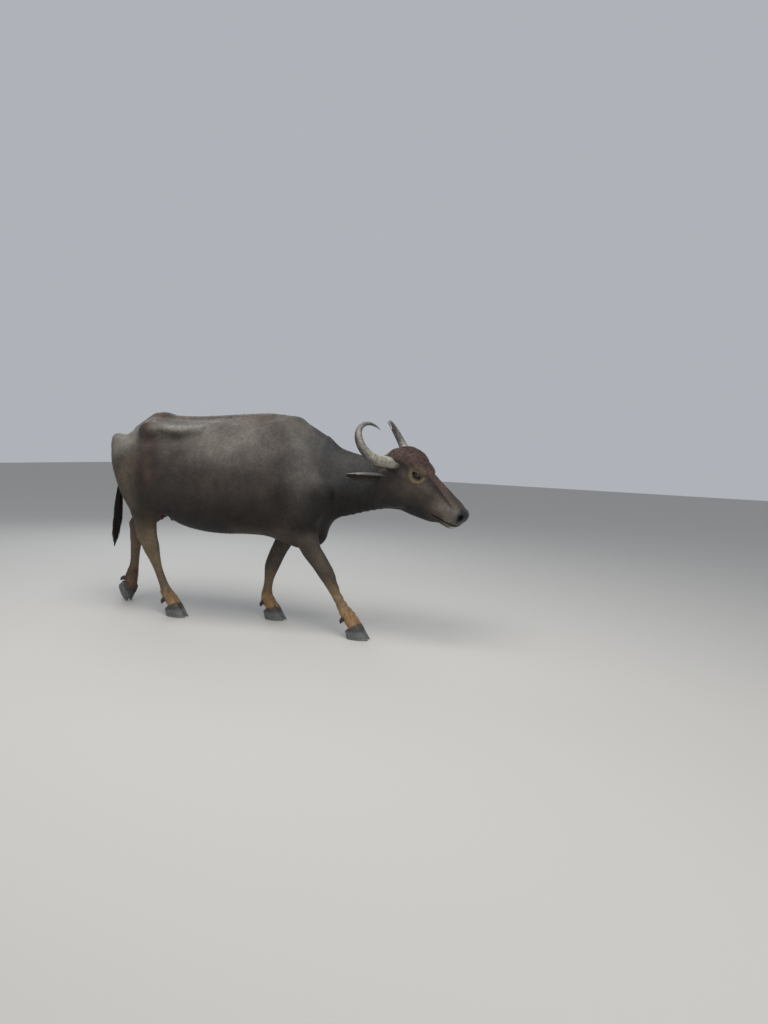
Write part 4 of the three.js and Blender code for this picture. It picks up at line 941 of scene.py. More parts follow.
def earSheet(s):
    mirror = np.array((1, s, 1))
    root = inHead(*(earRoot * mirror))
    out = headTurn @ (earWays["out"] * mirror)
    out /= np.linalg.norm(out)
    back = headTurn @ (earWays["back"] * mirror)
    back -= out * (back @ out)
    back /= np.linalg.norm(back)
    wide = np.cross(out, back)
    stations, across = earSize["stations"], earSize["across"]
    places, inner, along = [], [], []
    for i in range(stations + 1):
        t = (i / stations) ** 0.9
        width = earSize["width"] * (0.42 + 1.25 * t) * (1 - t**2.4) ** 0.75 + 1.2
        roll = 1.30 - 0.45 * t
        thick = earSize["thickness"] * (1 - 0.62 * t) / 2
        radius = width / math.sin(min(roll, math.pi / 2))
        centre = root + out * earSize["length"] * t - back * earSize["bend"] * t * t
        steps = np.linspace(-1, 1, across + 1)
        edge = 1 + 0.02 * np.sin(t * 23) * t
        for offset, angles in ((thick, steps), (-thick, steps[::-1] * 0.975)):
            for a in angles:
                taper = thick * (1 - 0.55 * abs(a) ** 6)
                r = radius + (taper if offset > 0 else -taper) + 1.2 * math.sin(a * 9 + t * 5) * abs(a) * t
                aside, lift = wide * r * edge * math.sin(a * roll), back * (r * math.cos(a * roll) - radius)
                places.append(centre + aside + lift)
                inner.append(offset < 0)
                along.append((t, abs(a)))
    ring = 2 * (across + 1)
    quads = [(i * ring + n, (i + 1) * ring + n, (i + 1) * ring + (n + 1) % ring, i * ring + (n + 1) % ring)
             for i in range(stations) for n in range(ring)]
    for row, ahead in ((0, True), (stations * ring, False)):
        for n in range(across):
            q = (row + n, row + n + 1, row + ring - 2 - n, row + ring - 1 - n)
            quads.append(q if ahead else q[::-1])
    quads = np.array(quads)
    places = np.array(places)
    a, b, c = (places[quads[:, n]] for n in (0, 1, 2))
    if np.einsum("ij,ij->i", a - centre, np.cross(b - a, c - a)).sum() < 0:
        quads = quads[:, ::-1]
    return places, quads, np.array(inner), np.array(along)


colour, wet = coatWithPaintedLight(spots)
legness = smoothstep(640, 520, spots[:, 2]) * (spots[:, 0] < 1000)
parts = [(spots, tris, colour, wet, legness)]
ears = {}
for s in (-1, 1):
    places, quads, inner, along = earSheet(s)
    t, off = along.T
    back, cup, rim = (np.array(coatColours[c]) for c in ("earBack", "earCup", "earRim"))
    tint = np.where(inner[:, None], cup + (rim - cup) * (smoothstep(0.55, 1, off) * 0.7)[:, None],
                    back * (1 - 0.35 * (1 - t))[:, None])
    tint = tint * (1 + 0.2 * noise(places, 60, 3))[:, None]
    parts.append((places, triangles(places, quads), tint, np.zeros(len(places)), np.zeros(len(places))))
    ears[s] = (places, inner, along)
offsets = np.cumsum([0] + [len(part[0]) for part in parts[:-1]])
skinPlaces = np.concatenate([part[0] for part in parts])
skinTris = np.concatenate([part[1] + o for part, o in zip(parts, offsets)])
skin = makeObject("skin", toPart(skinPlaces), skinTris, hide,
                  {"coatColour": np.concatenate([part[2] for part in parts]),
                   "wet": np.concatenate([part[3] for part in parts]),
                   "upright": np.concatenate([part[4] for part in parts])})
legNames = ("fore_right", "fore_left", "hind_right", "hind_left")
finishPiece(skin, "hide", "torso", "neck", "head", "ear_right", "ear_left", "udder", "tail",
            *(f"{leg}_{part}" for leg in legNames for part in ("upper", "lower")))
print("skin made")

# Horns: outwards and back from the skull, then round in a ring that closes a little, up to a thin tip
hornSize = {"radius": 35, "sunk": 48, "straight": 141, "ring": 135, "turn": math.radians(218), "closing": 0.35,
            "stations": 170, "sides": 36, "flatness": 0.88, "ridge": 0.9}
hornRoot = (-23, 73, 95)
hornWay = {"back": 28, "down": 4, "lean": 59.5}
hornColours = {"base": (0.33, 0.31, 0.26), "middle": (0.165, 0.155, 0.135), "dark": (0.028, 0.026, 0.025),
               "tip": (0.40, 0.385, 0.35), "root": (0.10, 0.085, 0.07)}


def hornPlace(along):
    back, down, lean = (math.radians(hornWay[k]) for k in ("back", "down", "lean"))
    out = np.array((-math.sin(back) * math.cos(down), math.cos(back) * math.cos(down), -math.sin(down)))
    up = np.array((-math.sin(lean), 0, math.cos(lean)))
    up -= out * (up @ out)
    up /= np.linalg.norm(up)
    turn = np.maximum(along - hornSize["straight"], 0) / hornSize["ring"]
    radius = hornSize["ring"] * (1 - hornSize["closing"] * turn / hornSize["turn"])
    a = np.minimum(along, hornSize["straight"]) + radius * np.sin(turn)
    b = np.where(turn > 0, hornSize["ring"] - radius * np.cos(turn), 0)
    return np.array(hornRoot) + a[:, None] * out + b[:, None] * up


# A closed tube along points: the sizes across and up may differ from place to place and round the tube
def tube(points, sizes, sides, upward, flatness=1.0):
    ahead = np.gradient(points, axis=0)
    ahead /= np.linalg.norm(ahead, axis=1, keepdims=True)
    lift = np.array(upward, float)
    rings = []
    turns = 2 * math.pi * np.arange(sides) / sides
    for p, a, size in zip(points, ahead, sizes):
        lift = lift - a * (lift @ a)
        lift /= np.linalg.norm(lift)
        aside = np.cross(a, lift)
        rings.append(p + (aside * flatness * np.cos(turns)[:, None] + lift * np.sin(turns)[:, None])
                     * np.broadcast_to(size, sides)[:, None])
    return closeRings(rings, points[0] - ahead[0], points[-1] + ahead[-1] * 0.6)


# A closed mesh of triangles from rings of equal size, with a point at the middle of each end, facing outwards
def closeRings(rings, first, last):
    sides, count = len(rings[0]), len(rings)
    places = np.concatenate([*rings, [first], [last]])
    i, n = (a.ravel() for a in np.meshgrid(np.arange(count - 1), np.arange(sides), indexing="ij"))
    a, b = i * sides + n, i * sides + (n + 1) % sides
    n = np.arange(sides)
    top = (count - 1) * sides
    faces = np.concatenate([np.stack([a, b, a + sides], 1), np.stack([b, b + sides, a + sides], 1),
                            np.stack([np.full(sides, count * sides), (n + 1) % sides, n], 1),
                            np.stack([np.full(sides, count * sides + 1), top + n, top + (n + 1) % sides], 1)])
    p, q, r = (places[faces[:, c]] - places.mean(axis=0) for c in range(3))
    if np.einsum("ij,ij->i", p, np.cross(q, r)).sum() < 0:
        faces = faces[:, ::-1]
    return places, faces


def hornMaterial():
    material, nodes, links, shader = newMaterial("horn")
    place = nodes.new("ShaderNodeTexCoord").outputs["Object"]
    colour = addNode(nodes, "ShaderNodeAttribute", attribute_name="hornColour").outputs["Color"]
    ridge = addNode(nodes, "ShaderNodeAttribute", attribute_name="along").outputs["Vector"]
    fibre = noiseOf(nodes, links, mapOf(nodes, links, ridge, (3.0, 60, 60)), 1.0, 5, 0.65)
    stain = noiseOf(nodes, links, place, 60, 6, 0.65)
    ring = noiseOf(nodes, links, mapOf(nodes, links, ridge, (120, 1.2, 1.2)), 1.0, 3, 0.5)
    amount = mathOf(nodes, links, "MULTIPLY", remap(nodes, links, fibre, 0.3, 0.7, 0.88, 1.10),
                    remap(nodes, links, stain, 0.3, 0.7, 0.62, 1.3))
    amount = mathOf(nodes, links, "MULTIPLY", amount, remap(nodes, links, ring, 0.35, 0.6, 0.7, 1.15))
    links.new(brighten(nodes, links, colour, amount), shader.inputs["Base Color"])
    bump = bumpOf(nodes, links, fibre, 0.25, 0.0008)
    bump = bumpOf(nodes, links, ring, 0.6, 0.003, bump)
    links.new(bump, shader.inputs["Normal"])
    links.new(remap(nodes, links, stain, 0.3, 0.7, 0.6, 0.42), shader.inputs["Roughness"])
    return material


hornSkin = hornMaterial()
for s, word in ((-1, "right"), (1, "left")):
    length = hornSize["straight"] + hornSize["ring"] * hornSize["turn"]
    reached = np.linspace(-hornSize["sunk"], length, hornSize["stations"])
    t = np.maximum(reached, 0) / length
    local = hornPlace(reached)
    local[:, 1] *= s
    points = np.array([inHead(*p) for p in local])
    turns = 2 * math.pi * np.arange(hornSize["sides"]) / hornSize["sides"]
    ridge = np.sin(t[:, None] * 330 + 1.4 * np.sin(t[:, None] * 37) + 0.5 * np.sin(turns * 2 + t[:, None] * 9))
    ridge = np.sign(ridge) * np.abs(ridge) ** 0.6
    ridge = ridge * smoothstep(0.72, 0.35, t)[:, None] * smoothstep(0, 0.08, t)[:, None]
    keel = 1 + 0.05 * np.cos(turns * 2 + 0.6) + 0.02 * np.cos(turns * 3)
    sizes = hornSize["radius"] * (0.07 + 0.93 * (1 - t**1.6))[:, None] * keel + hornSize["ridge"] * ridge
    places, faces = tube(points, sizes, hornSize["sides"], headTurn @ np.array((0, 0, 1)), hornSize["flatness"])
    along = np.append(np.repeat(t, hornSize["sides"]), (0, 1))
    outward = places - np.append(np.repeat(points, hornSize["sides"], axis=0), points[[0, -1]], axis=0)
    outward = (outward / np.maximum(np.linalg.norm(outward, axis=1, keepdims=True), 1e-6)) @ headTurn
    # painted shade: the side of each horn that faces down, back and outwards is darkened, and the pale tip is kept
    # off it
    under = smoothstep(-0.1, 0.75, -outward[:, 2] * 0.55 - outward[:, 0] * 0.55 + outward[:, 1] * s * 0.45)
    tint = np.array(hornColours["base"]) * np.ones((len(places), 1))
    for name, amount in (("middle", smoothstep(0.12, 0.5, along)),
                         ("root", smoothstep(0.09, 0.03, along) * 0.6),
                         ("dark", under * smoothstep(0.1, 0.3, along) * 0.85),
                         ("dark", smoothstep(0.55, 0.95, along) * 0.35),
                         ("tip", smoothstep(0.9, 0.99, along) * (1 - under) * 0.8)):
        tint += (np.array(hornColours[name]) - tint) * np.clip(amount, 0, 1)[:, None]
    tint *= (1 + 0.16 * noise(places, 40, 11))[:, None]
    grain = np.stack([along, np.append(np.tile(np.cos(turns), len(t)), (0, 0)),
                      np.append(np.tile(np.sin(turns), len(t)), (0, 0))], axis=1)
    obj = makeObject(f"horn_{word}", toPart(places), faces, hornSkin,
                     {"hornColour": np.maximum(tint, 0.01), "along": grain})
    finishPiece(obj, "horn", f"horn_{word}")
print("horns made")

# Eyes: a dark wet ball with a brown iris, a wide pupil and a slight bulge in front
eyeLook = {"iris": 12.5, "pupilLong": 8.0, "pupilHigh": 4.6, "bulge": 1.2, "turnOut": 0.86}
eyeColours = {"white": (0.022, 0.014, 0.011), "rim": (0.006, 0.005, 0.004), "iris": (0.022, 0.011, 0.006),
              "pupil": (0.002, 0.002, 0.003)}


def eyeMaterial():
    material, nodes, links, shader = newMaterial("eye")
    colour = addNode(nodes, "ShaderNodeAttribute", attribute_name="eyeColour").outputs["Color"]
    place = nodes.new("ShaderNodeTexCoord").outputs["Object"]
    fleck = noiseOf(nodes, links, place, 900, 4)
    amount = remap(nodes, links, fleck, 0.3, 0.7, 0.7, 1.3)
    links.new(brighten(nodes, links, colour, amount), shader.inputs["Base Color"])
    shader.inputs["Roughness"].default_value = 0.06
    shader.inputs["Specular IOR Level"].default_value = 0.35
    shader.inputs["Coat Weight"].default_value = 0.3
    shader.inputs["Coat Roughness"].default_value = 0.03
    return material


eyeSkin = eyeMaterial()
for s, word in ((-1, "right"), (1, "left")):
    wide, high = 72, 48
    polar = np.linspace(0, math.pi, high + 1)[1:-1]
    turns = np.linspace(0, 2 * math.pi, wide, endpoint=False)
    look = np.array((0.30, eyeLook["turnOut"] * s, -0.02))
    look /= np.linalg.norm(look)
    aside = np.cross((0, 0, 1), look)
    aside /= np.linalg.norm(aside)
    up = np.cross(look, aside)
    rings = [np.outer(np.ones(wide), look * math.cos(a)) + math.sin(a) * (np.outer(np.cos(turns), aside)
             + np.outer(np.sin(turns), up)) for a in polar]
    places, faces = closeRings(rings, look, -look)
    front = np.arccos(np.clip(places @ look, -1, 1)) * eyeSize["radius"]
    size = eyeSize["radius"] + eyeLook["bulge"] * smoothstep(eyeLook["iris"] + 1, 4, front)
    tint = np.array(eyeColours["white"]) * np.ones((len(places), 1))
    pupil = np.hypot(places @ aside / eyeLook["pupilLong"], places @ up / eyeLook["pupilHigh"]) * eyeSize["radius"]
    for name, amount in (("rim", smoothstep(eyeLook["iris"] + 3, eyeLook["iris"], front)),
                         ("iris", smoothstep(eyeLook["iris"] - 0.5, eyeLook["iris"] - 3, front)),
                         ("pupil", smoothstep(1.15, 0.9, pupil) * (front < 30))):
        tint += (np.array(eyeColours[name]) - tint) * amount[:, None]
    centre = eyeCentres[s]
    ball = (places * size[:, None] + centre) @ headTurn.T + np.array(headOrigin)
    obj = makeObject(f"eye_{word}", toPart(ball), faces, eyeSkin, {"eyeColour": tint})
    finishPiece(obj, "eye", f"eye_{word}")
print("eyes made")

# Feet: two claws and two dewclaws each, in one piece. Claws run from the sole up into the coronet.
clawSize = {"length": 128, "width": 56, "height": 96, "lean": 44, "gap": 3.5, "levels": 22, "round": 56,
            "sunk": 10, "solePart": 0.5, "soleHollow": 1.5}
feet = {"fore_right": dict(middle=(1022, -116, 0), pitch=0, fetlock=(924, -118, 116), lean=0),
        "fore_left": dict(middle=(372, 112, 0), pitch=0, fetlock=(282, 113, 106), lean=0),
        "hind_right": dict(middle=(-204, -123, 0), pitch=0, fetlock=(-296, -126, 106), lean=0),
        "hind_left": dict(middle=(-785, 125, 52), pitch=62, fetlock=(-782, 126, 162), lean=30)}


def turned(degrees):
    return np.array(Matrix.Rotation(math.radians(degrees), 3, "Y"))


def clawMesh(outer, away, place, direction):
    turns = 2 * math.pi * np.arange(clawSize["round"]) / clawSize["round"]
    c, s = np.cos(turns), np.sin(turns)
    half = clawSize["length"] / 2 * (1.03 if outer else 1)
    toe = np.maximum(c, 0)
    x = half * np.sign(c) * np.abs(c) ** 0.9
    # the wall's height where it meets the coronet plane
    start = direction[0] * (x - place[0]) - direction[2] * place[2]
    rise = direction[0] * (-0.3 * x - clawSize["lean"]) + direction[2] * clawSize["height"]
    meet = np.clip(-start / rise, 0.12, 1.3)
    rings = []
    levels = clawSize["levels"]
    for i in range(levels + 3):
        part = min(i / levels, 1)
        t = meet * part
        over = max(i - levels, 0)
        wide = clawSize["width"] * (1 - 0.14 * t * t)
        y = wide / 2 * np.sign(s) * np.abs(s) ** 0.8 * (1 - 0.35 * toe**2)
        y = np.where(y < 0, y * 0.72, y)
        bulge = 0.03 * math.sin(part * math.pi * 3) if part > 0.7 else 0
        bead = 1 + 0.012 * math.sin(part * 38) * (1 - part) + bulge
        tuck = (1 - 0.10 * over) * bead * (0.965 if i == 0 else 1)
        ringX = x * (1 - 0.3 * t) * tuck - clawSize["lean"] * t
        ringY = (y * tuck + 0.36 * clawSize["width"] - 3 * toe) * away + clawSize["gap"] * away
        ringZ = clawSize["height"] * t + over * clawSize["sunk"] * 0.6
        rings.append(np.stack([ringX, ringY, ringZ], axis=1))
    # the sole rises a little inside its edge
    rings[0][:, 2] = 0
    middle = rings[0].mean(axis=0)
    sole = middle + (rings[0] - middle) * clawSize["solePart"]
    sole[:, 2] = clawSize["soleHollow"]
    rings.insert(0, sole)
    return closeRings(rings, rings[0].mean(axis=0) + np.array((0, 0, 1.0)), rings[-1].mean(axis=0))


def hoofMaterial():
    material, nodes, links, shader = newMaterial("hoof")
    place = nodes.new("ShaderNodeTexCoord").outputs["Object"]
    colour = addNode(nodes, "ShaderNodeAttribute", attribute_name="hoofColour").outputs["Color"]
    ring = noiseOf(nodes, links, mapOf(nodes, links, place, (18, 18, 320)), 1.0, 4, 0.6)
    wear = noiseOf(nodes, links, place, 90, 6, 0.65)
    fibre = noiseOf(nodes, links, mapOf(nodes, links, place, (400, 400, 30)), 1.0, 3, 0.6)
    amount = mathOf(nodes, links, "MULTIPLY", remap(nodes, links, ring, 0.3, 0.7, 0.75, 1.25),
                    remap(nodes, links, wear, 0.3, 0.7, 0.6, 1.4))
    amount = mathOf(nodes, links, "MULTIPLY", amount, remap(nodes, links, fibre, 0.3, 0.7, 0.85, 1.15))
    links.new(brighten(nodes, links, colour, amount), shader.inputs["Base Color"])
    bump = bumpOf(nodes, links, ring, 0.5, 0.002)
    bump = bumpOf(nodes, links, wear, 0.4, 0.0015, bump)
    links.new(bump, shader.inputs["Normal"])
    links.new(remap(nodes, links, wear, 0.3, 0.7, 0.42, 0.62), shader.inputs["Roughness"])
    return material


hoofSkin = hoofMaterial()
hoofColours = {"wall": (0.105, 0.110, 0.112), "coronet": (0.045, 0.038, 0.033), "edge": (0.16, 0.15, 0.135),
               "dewclaw": (0.030, 0.027, 0.026)}
for name, foot in feet.items():
    side = -1 if "right" in name else 1
    turn = turned(foot["pitch"])
    place, direction = (np.array(v) for v in coronets[name])
    place, direction = (place - foot["middle"]) @ turn, direction @ turn
    bodies, tints = [], []
    for away in (side, -side):
        places, faces = clawMesh(away == side, away, place, direction)
        height = np.clip(places[:, 2] / 60, 0, 1)
        wall, coronet, edge = (np.array(hoofColours[k]) for k in ("wall", "coronet", "edge"))
        tint = wall + (coronet - wall) * smoothstep(0.55, 1, height)[:, None]
        tint += (edge - tint) * smoothstep(0.16, 0.0, height)[:, None]
        places = places @ turn.T + np.array(foot["middle"])
        places[:, 2] = np.maximum(places[:, 2], 0)
        bodies.append((places, faces))
        tints.append(tint)
        # a dewclaw curves down and out from its root
        path = np.array([(24, 0, 12), (7, 3 * away, 2), (-6, 5 * away, -14), (-9, 7 * away, -31)], float)
        t = np.linspace(0, 3, 13)
        smooth = np.stack([np.interp(t, range(4), path[:, c]) for c in range(3)], axis=1)
        smooth[1:-1] = (smooth[:-2] + smooth[1:-1] * 2 + smooth[2:]) / 4
        sizes = np.interp(t, (0, 1, 2, 2.7, 3), (13, 15.5, 12.5, 6.5, 2.5))
        places, faces = tube(smooth, sizes, 20, (0, 0, 1), 0.94)
        seat = np.array((foot["fetlock"][0], foot["fetlock"][1] + 22 * away, foot["fetlock"][2]))
        places = places @ turned(foot["lean"]).T + seat
        bodies.append((places, faces))
        tints.append(np.tile(hoofColours["dewclaw"], (len(places), 1)))
    offsets = np.cumsum([0] + [len(b[0]) for b in bodies[:-1]])
    obj = makeObject(f"hooves_{name}", toPart(np.concatenate([b[0] for b in bodies])),
                     np.concatenate([b[1] + o for b, o in zip(bodies, offsets)]), hoofSkin,
                     {"hoofColour": np.concatenate(tints)})
    claws = ("claw_outer", "claw_inner", "dewclaw_outer", "dewclaw_inner")
    finishPiece(obj, "hoof", *(f"{name}_{part}" for part in claws))
print("hooves made")

# Hair: one node tree sets tufts of thin closed blades on roots, along the lie of the coat
hairLook = {"spread": 0.30, "flatness": 0.45, "patch": 0.003}


# A tuft one unit long: closed three-sided blades, fanned out and curved, that end in a point
def bladeCluster(name, blades, segments, width, wave, fan, seed):
    pick = np.random.default_rng(seed)
    places, faces, tip, patch = [], [], [], []
    for b in range(blades):
        turn, long, aside = pick.uniform(-fan, fan), pick.uniform(0.68, 1.0), pick.uniform(-0.5, 0.5) * fan
        lift, swing, phase = pick.uniform(0.5, 1.0), pick.uniform(0.5, 1.0) * wave, pick.uniform(0, 6.3)
        first = len(places)
        for i in range(segments + 1):
            t = i / segments
            x = t * long * math.cos(turn)
            y = aside + t * long * math.sin(turn) + swing * math.sin(phase + t * 5) * t
            z = -0.10 + 0.30 * lift * math.sin(math.pi * min(1, 0.15 + t * 0.85)) + 0.02 * t
            across = width * (1 - t) ** 0.55 * (0.7 + 0.6 * t) * 0.5
            ring = [(0, across, 0), (0, -across, 0), (0, 0, across * 0.8)] if i < segments else [(0, 0, 0)]
            for _, dy, dz in ring:
                places.append((x, y + dy, z + dz))
                tip.append(t)
                patch.append(((t - 0.5) * hairLook["patch"], (y + dy) * hairLook["patch"] * 0.8, 0))
        faces.append((first, first + 1, first + 2))
        for i in range(segments - 1):
            a = first + 3 * i
            for n in range(3):
                m = (n + 1) % 3
                faces += [(a + n, a + 3 + n, a + m), (a + m, a + 3 + n, a + 3 + m)]
        a, last = first + 3 * (segments - 1), first + 3 * segments
        faces += [(a + n, last, a + (n + 1) % 3) for n in range(3)]
    faces = np.array(faces)
    p, q, r = (np.array(places)[faces[:, c]] for c in range(3))
    if np.einsum("ij,ij->i", p, np.cross(q, r)).sum() < 0:
        faces = faces[:, ::-1]
    return makeObject(name, np.array(places), faces, hairSkin,
                      {"tip": np.array(tip), "tuftMap": np.array(patch)})


def hairMaterial():
    material, nodes, links, shader = newMaterial("hair")
    colour = addNode(nodes, "ShaderNodeAttribute", attribute_name="coatColour").outputs["Color"]
    tip = addNode(nodes, "ShaderNodeAttribute", attribute_name="tip").outputs["Fac"]
    place = nodes.new("ShaderNodeTexCoord").outputs["Object"]
    clump = noiseOf(nodes, links, place, 130, 4)
    amount = mathOf(nodes, links, "MULTIPLY", remap(nodes, links, clump, 0.3, 0.7, 0.6, 1.4),
                    remap(nodes, links, tip, 0, 1, 0.75, 1.35))
    links.new(brighten(nodes, links, colour, amount), shader.inputs["Base Color"])
    shader.inputs["Roughness"].default_value = 0.48
    shader.inputs["Specular IOR Level"].default_value = 0.35
    return material


def hairTree():
    tree = bpy.data.node_groups.new("hair on roots", "GeometryNodeTree")
    sockets = {}
    for label, kind, value in (("Roots", "Geometry", None), ("Tuft", "Object", None), ("Length", "Float", 1.0),
                               ("Length spread", "Float", 0.3), ("Unruly", "Float", 0.2), ("Seed", "Int", 1),
                               ("Hair", "Material", None)):
        socket = tree.interface.new_socket(label, in_out="INPUT", socket_type="NodeSocket" + kind)
        if value is not None:
            socket.default_value = value
        sockets[label] = socket.identifier
    tree.interface.new_socket("Coat", in_out="OUTPUT", socket_type="NodeSocketGeometry")
    nodes, links = tree.nodes, tree.links
    given, result = nodes.new("NodeGroupInput"), nodes.new("NodeGroupOutput")

    def read(attribute, kind):
        node = nodes.new("GeometryNodeInputNamedAttribute")
        node.data_type = kind
        node.inputs["Name"].default_value = attribute
        return node.outputs["Attribute"]

    def scaled(vector, factor):
        node = nodes.new("ShaderNodeVectorMath")
        node.operation = "SCALE"
        links.new(vector, node.inputs[0])
        links.new(factor, node.inputs["Scale"])
        return node.outputs[0]

    def added(a, b):
        node = nodes.new("ShaderNodeVectorMath")
        links.new(a, node.inputs[0])
        links.new(b, node.inputs[1])
        return node.outputs[0]

    sway = nodes.new("FunctionNodeRandomValue")
    sway.data_type = "FLOAT_VECTOR"
    sway.inputs[0].default_value = (-1, -1, -1)
    links.new(given.outputs["Seed"], sway.inputs["Seed"])
    lie = added(read("lie", "FLOAT_VECTOR"), scaled(sway.outputs[0], given.outputs["Unruly"]))
    turn = nodes.new("FunctionNodeAxesToRotation")
    turn.primary_axis, turn.secondary_axis = "X", "Z"
    links.new(lie, turn.inputs["Primary Axis"])
    links.new(read("out", "FLOAT_VECTOR"), turn.inputs["Secondary Axis"])
    vary = nodes.new("FunctionNodeRandomValue")
    vary.data_type = "FLOAT"
    links.new(mathOf(nodes, links, "SUBTRACT", 1.0, given.outputs["Length spread"]), vary.inputs[2])
    links.new(mathOf(nodes, links, "ADD", 1.0, given.outputs["Length spread"]), vary.inputs[3])
    links.new(mathOf(nodes, links, "ADD", given.outputs["Seed"], 7.0), vary.inputs["Seed"])
    size = scaled(scaled(read("size", "FLOAT_VECTOR"), given.outputs["Length"]), vary.outputs[1])
    tuft = nodes.new("GeometryNodeObjectInfo")
    links.new(given.outputs["Tuft"], tuft.inputs["Object"])
    grow = nodes.new("GeometryNodeInstanceOnPoints")
    links.new(given.outputs["Roots"], grow.inputs["Points"])
    links.new(tuft.outputs["Geometry"], grow.inputs["Instance"])
    links.new(turn.outputs[0], grow.inputs["Rotation"])
    links.new(size, grow.inputs["Scale"])
    realize = nodes.new("GeometryNodeRealizeInstances")
    links.new(grow.outputs[0], realize.inputs[0])
    store = nodes.new("GeometryNodeStoreNamedAttribute")
    store.data_type, store.domain = "FLOAT2", "CORNER"
    store.inputs["Name"].default_value = "OFBake"
    links.new(realize.outputs[0], store.inputs["Geometry"])
    links.new(added(read("rootMap", "FLOAT_VECTOR"), read("tuftMap", "FLOAT_VECTOR")), store.inputs["Value"])
    paint = nodes.new("GeometryNodeSetMaterial")
    links.new(store.outputs[0], paint.inputs["Geometry"])
    links.new(given.outputs["Hair"], paint.inputs["Material"])
    links.new(paint.outputs[0], result.inputs[0])
    return tree, sockets


# Where a place of the skin lies on an unwrap of her shape: trunk and neck, head, and each leg have a sheet
def unwrapPlace(p):
    x, y, z = p.T
    u, w, v = toHead(p).T
    around = np.arctan2(y, z - 900) / (2 * math.pi) + 0.5
    flat = np.stack([0.02 + 0.94 * (x + 900) / 2050, 0.02 + 0.44 * around, 0 * x], axis=1)
    head = (x > 1118) | ((u > -120) & (np.abs(v) < 260) & (x > 1040))
    ring = np.arctan2(w, v - 20) / (2 * math.pi) + 0.5
    flat[head] = np.stack([0.02 + 0.42 * (u[head] + 200) / 720, 0.50 + 0.24 * ring[head], 0 * u[head]], axis=1)
    sheets = ((200, 1200, -1, 800), (200, 900, 1, 420), (-900, 0, -1, -360), (-900, 0, 1, -640))
    for number, (low, high, side, middle) in enumerate(sheets):
        leg = (z < 600) & (x > low) & (x < high) & (y * side > 60)
        turn = np.arctan2(y - 150 * side, x - middle + 0.4 * (z - 400)) / (2 * math.pi) + 0.5
        across, along = 0.48 + 0.12 * number + 0.11 * turn[leg], 0.52 + 0.44 * z[leg] / 600
        flat[leg] = np.stack([across, along, 0 * x[leg]], axis=1)
    return flat


# Grows tufts on roots with the node tree, and keeps the result as a plain mesh
def plant(name, places, out, lie, sizes, tints, tuft, nodesReplaced=(), slotName="hide", **inputs):
    lie = lie - out * np.einsum("ij,ij->i", lie, out)[:, None]
    lie /= np.maximum(np.linalg.norm(lie, axis=1, keepdims=True), 1e-6)
    mesh = bpy.data.meshes.new(name + " roots")
    mesh.vertices.add(len(places))
    mesh.vertices.foreach_set("co", toPart(places).astype(np.float32).ravel())
    for key, values in (("lie", lie), ("out", out), ("size", sizes * mm), ("rootMap", unwrapPlace(places))):
        vectors = mesh.attributes.new(key, "FLOAT_VECTOR", "POINT").data
        vectors.foreach_set("vector", values.astype(np.float32).ravel())
    rgba = np.concatenate([np.clip(tints, 0.004, 1), np.ones((len(places), 1))], axis=1).astype(np.float32)
    mesh.attributes.new("coatColour", "FLOAT_COLOR", "POINT").data.foreach_set("color", rgba.ravel())
    roots = bpy.data.objects.new(name + " roots", mesh)
    scene.collection.objects.link(roots)
    grower = roots.modifiers.new("grow", "NODES")
    grower.node_group = coatTree
    values = {"Tuft": tuft, "Hair": hairSkin, "Length spread": hairLook["spread"], **inputs}
    for label, value in values.items():
        grower[coatSockets[label]] = value
    graph = bpy.context.evaluated_depsgraph_get()
    made = bpy.data.meshes.new_from_object(roots.evaluated_get(graph), preserve_all_data_layers=True,
                                           depsgraph=graph)
    bpy.data.objects.remove(roots)
    made.name = name
    made.polygons.foreach_set("use_smooth", np.ones(len(made.polygons), bool))
    obj = bpy.data.objects.new(name, made)
    scene.collection.objects.link(obj)
    finishPiece(obj, slotName, *nodesReplaced)
    print(name, len(places), "tufts,", len(made.polygons), "triangles")


hairSkin = hairMaterial()
coatTree, coatSockets = hairTree()
shortTuft = bladeCluster("short tuft", 4, 3, 0.045, 0.05, 0.34, 21)
longTuft = bladeCluster("long tuft", 5, 4, 0.055, 0.10, 0.26, 22)
strandTuft = bladeCluster("strand tuft", 4, 9, 1.0, 0.0, 0.0, 23)

corner = spots[tris]
cross = np.cross(corner[:, 1] - corner[:, 0], corner[:, 2] - corner[:, 0])
area = np.linalg.norm(cross, axis=1) / 2
faceOut = cross / np.maximum(2 * area, 1e-9)[:, None]
faceMiddle = corner.mean(axis=1)
if np.einsum("ij,ij->i", faceMiddle - spots.mean(axis=0), cross).sum() < 0:
    faceOut = -faceOut
fx, fy, fz = faceMiddle.T
fu, _, fv = toHead(faceMiddle).T
onHead = smoothstep(1080, 1150, fx)
bare = np.maximum(smoothstep(430, 400, fu), 1 - onHead)
bare *= smoothstep(34, 44, eyeDistance(toHead(faceMiddle)))


# The way the hair lies: back and down, down on the legs, and away from a whorl on the forehead
def lieOf(p):
    u, w, v = toHead(p).T
    lie = np.tile((-1.0, 0.0, -0.62), (len(p), 1))
    low = np.maximum(smoothstep(680, 560, p[:, 2]), smoothstep(-700, -720, p[:, 0]))[:, None]
    lie += (np.array((-0.15, 0, -1)) - lie) * (low * (p[:, :1] < 1000))
    away = np.stack([u - 105, w * 1.3, v - 165], axis=1)
    away /= np.maximum(np.linalg.norm(away, axis=1, keepdims=True), 1e-6)
    crown = (smoothstep(100, 135, v) * smoothstep(240, 170, u))[:, None]
    local = np.array((-1, 0, -0.25)) + (away - np.array((-1, 0, -0.25))) * crown
    head = smoothstep(1080, 1150, p[:, 0])[:, None]
    return lie + (local @ headTurn.T - lie) * head


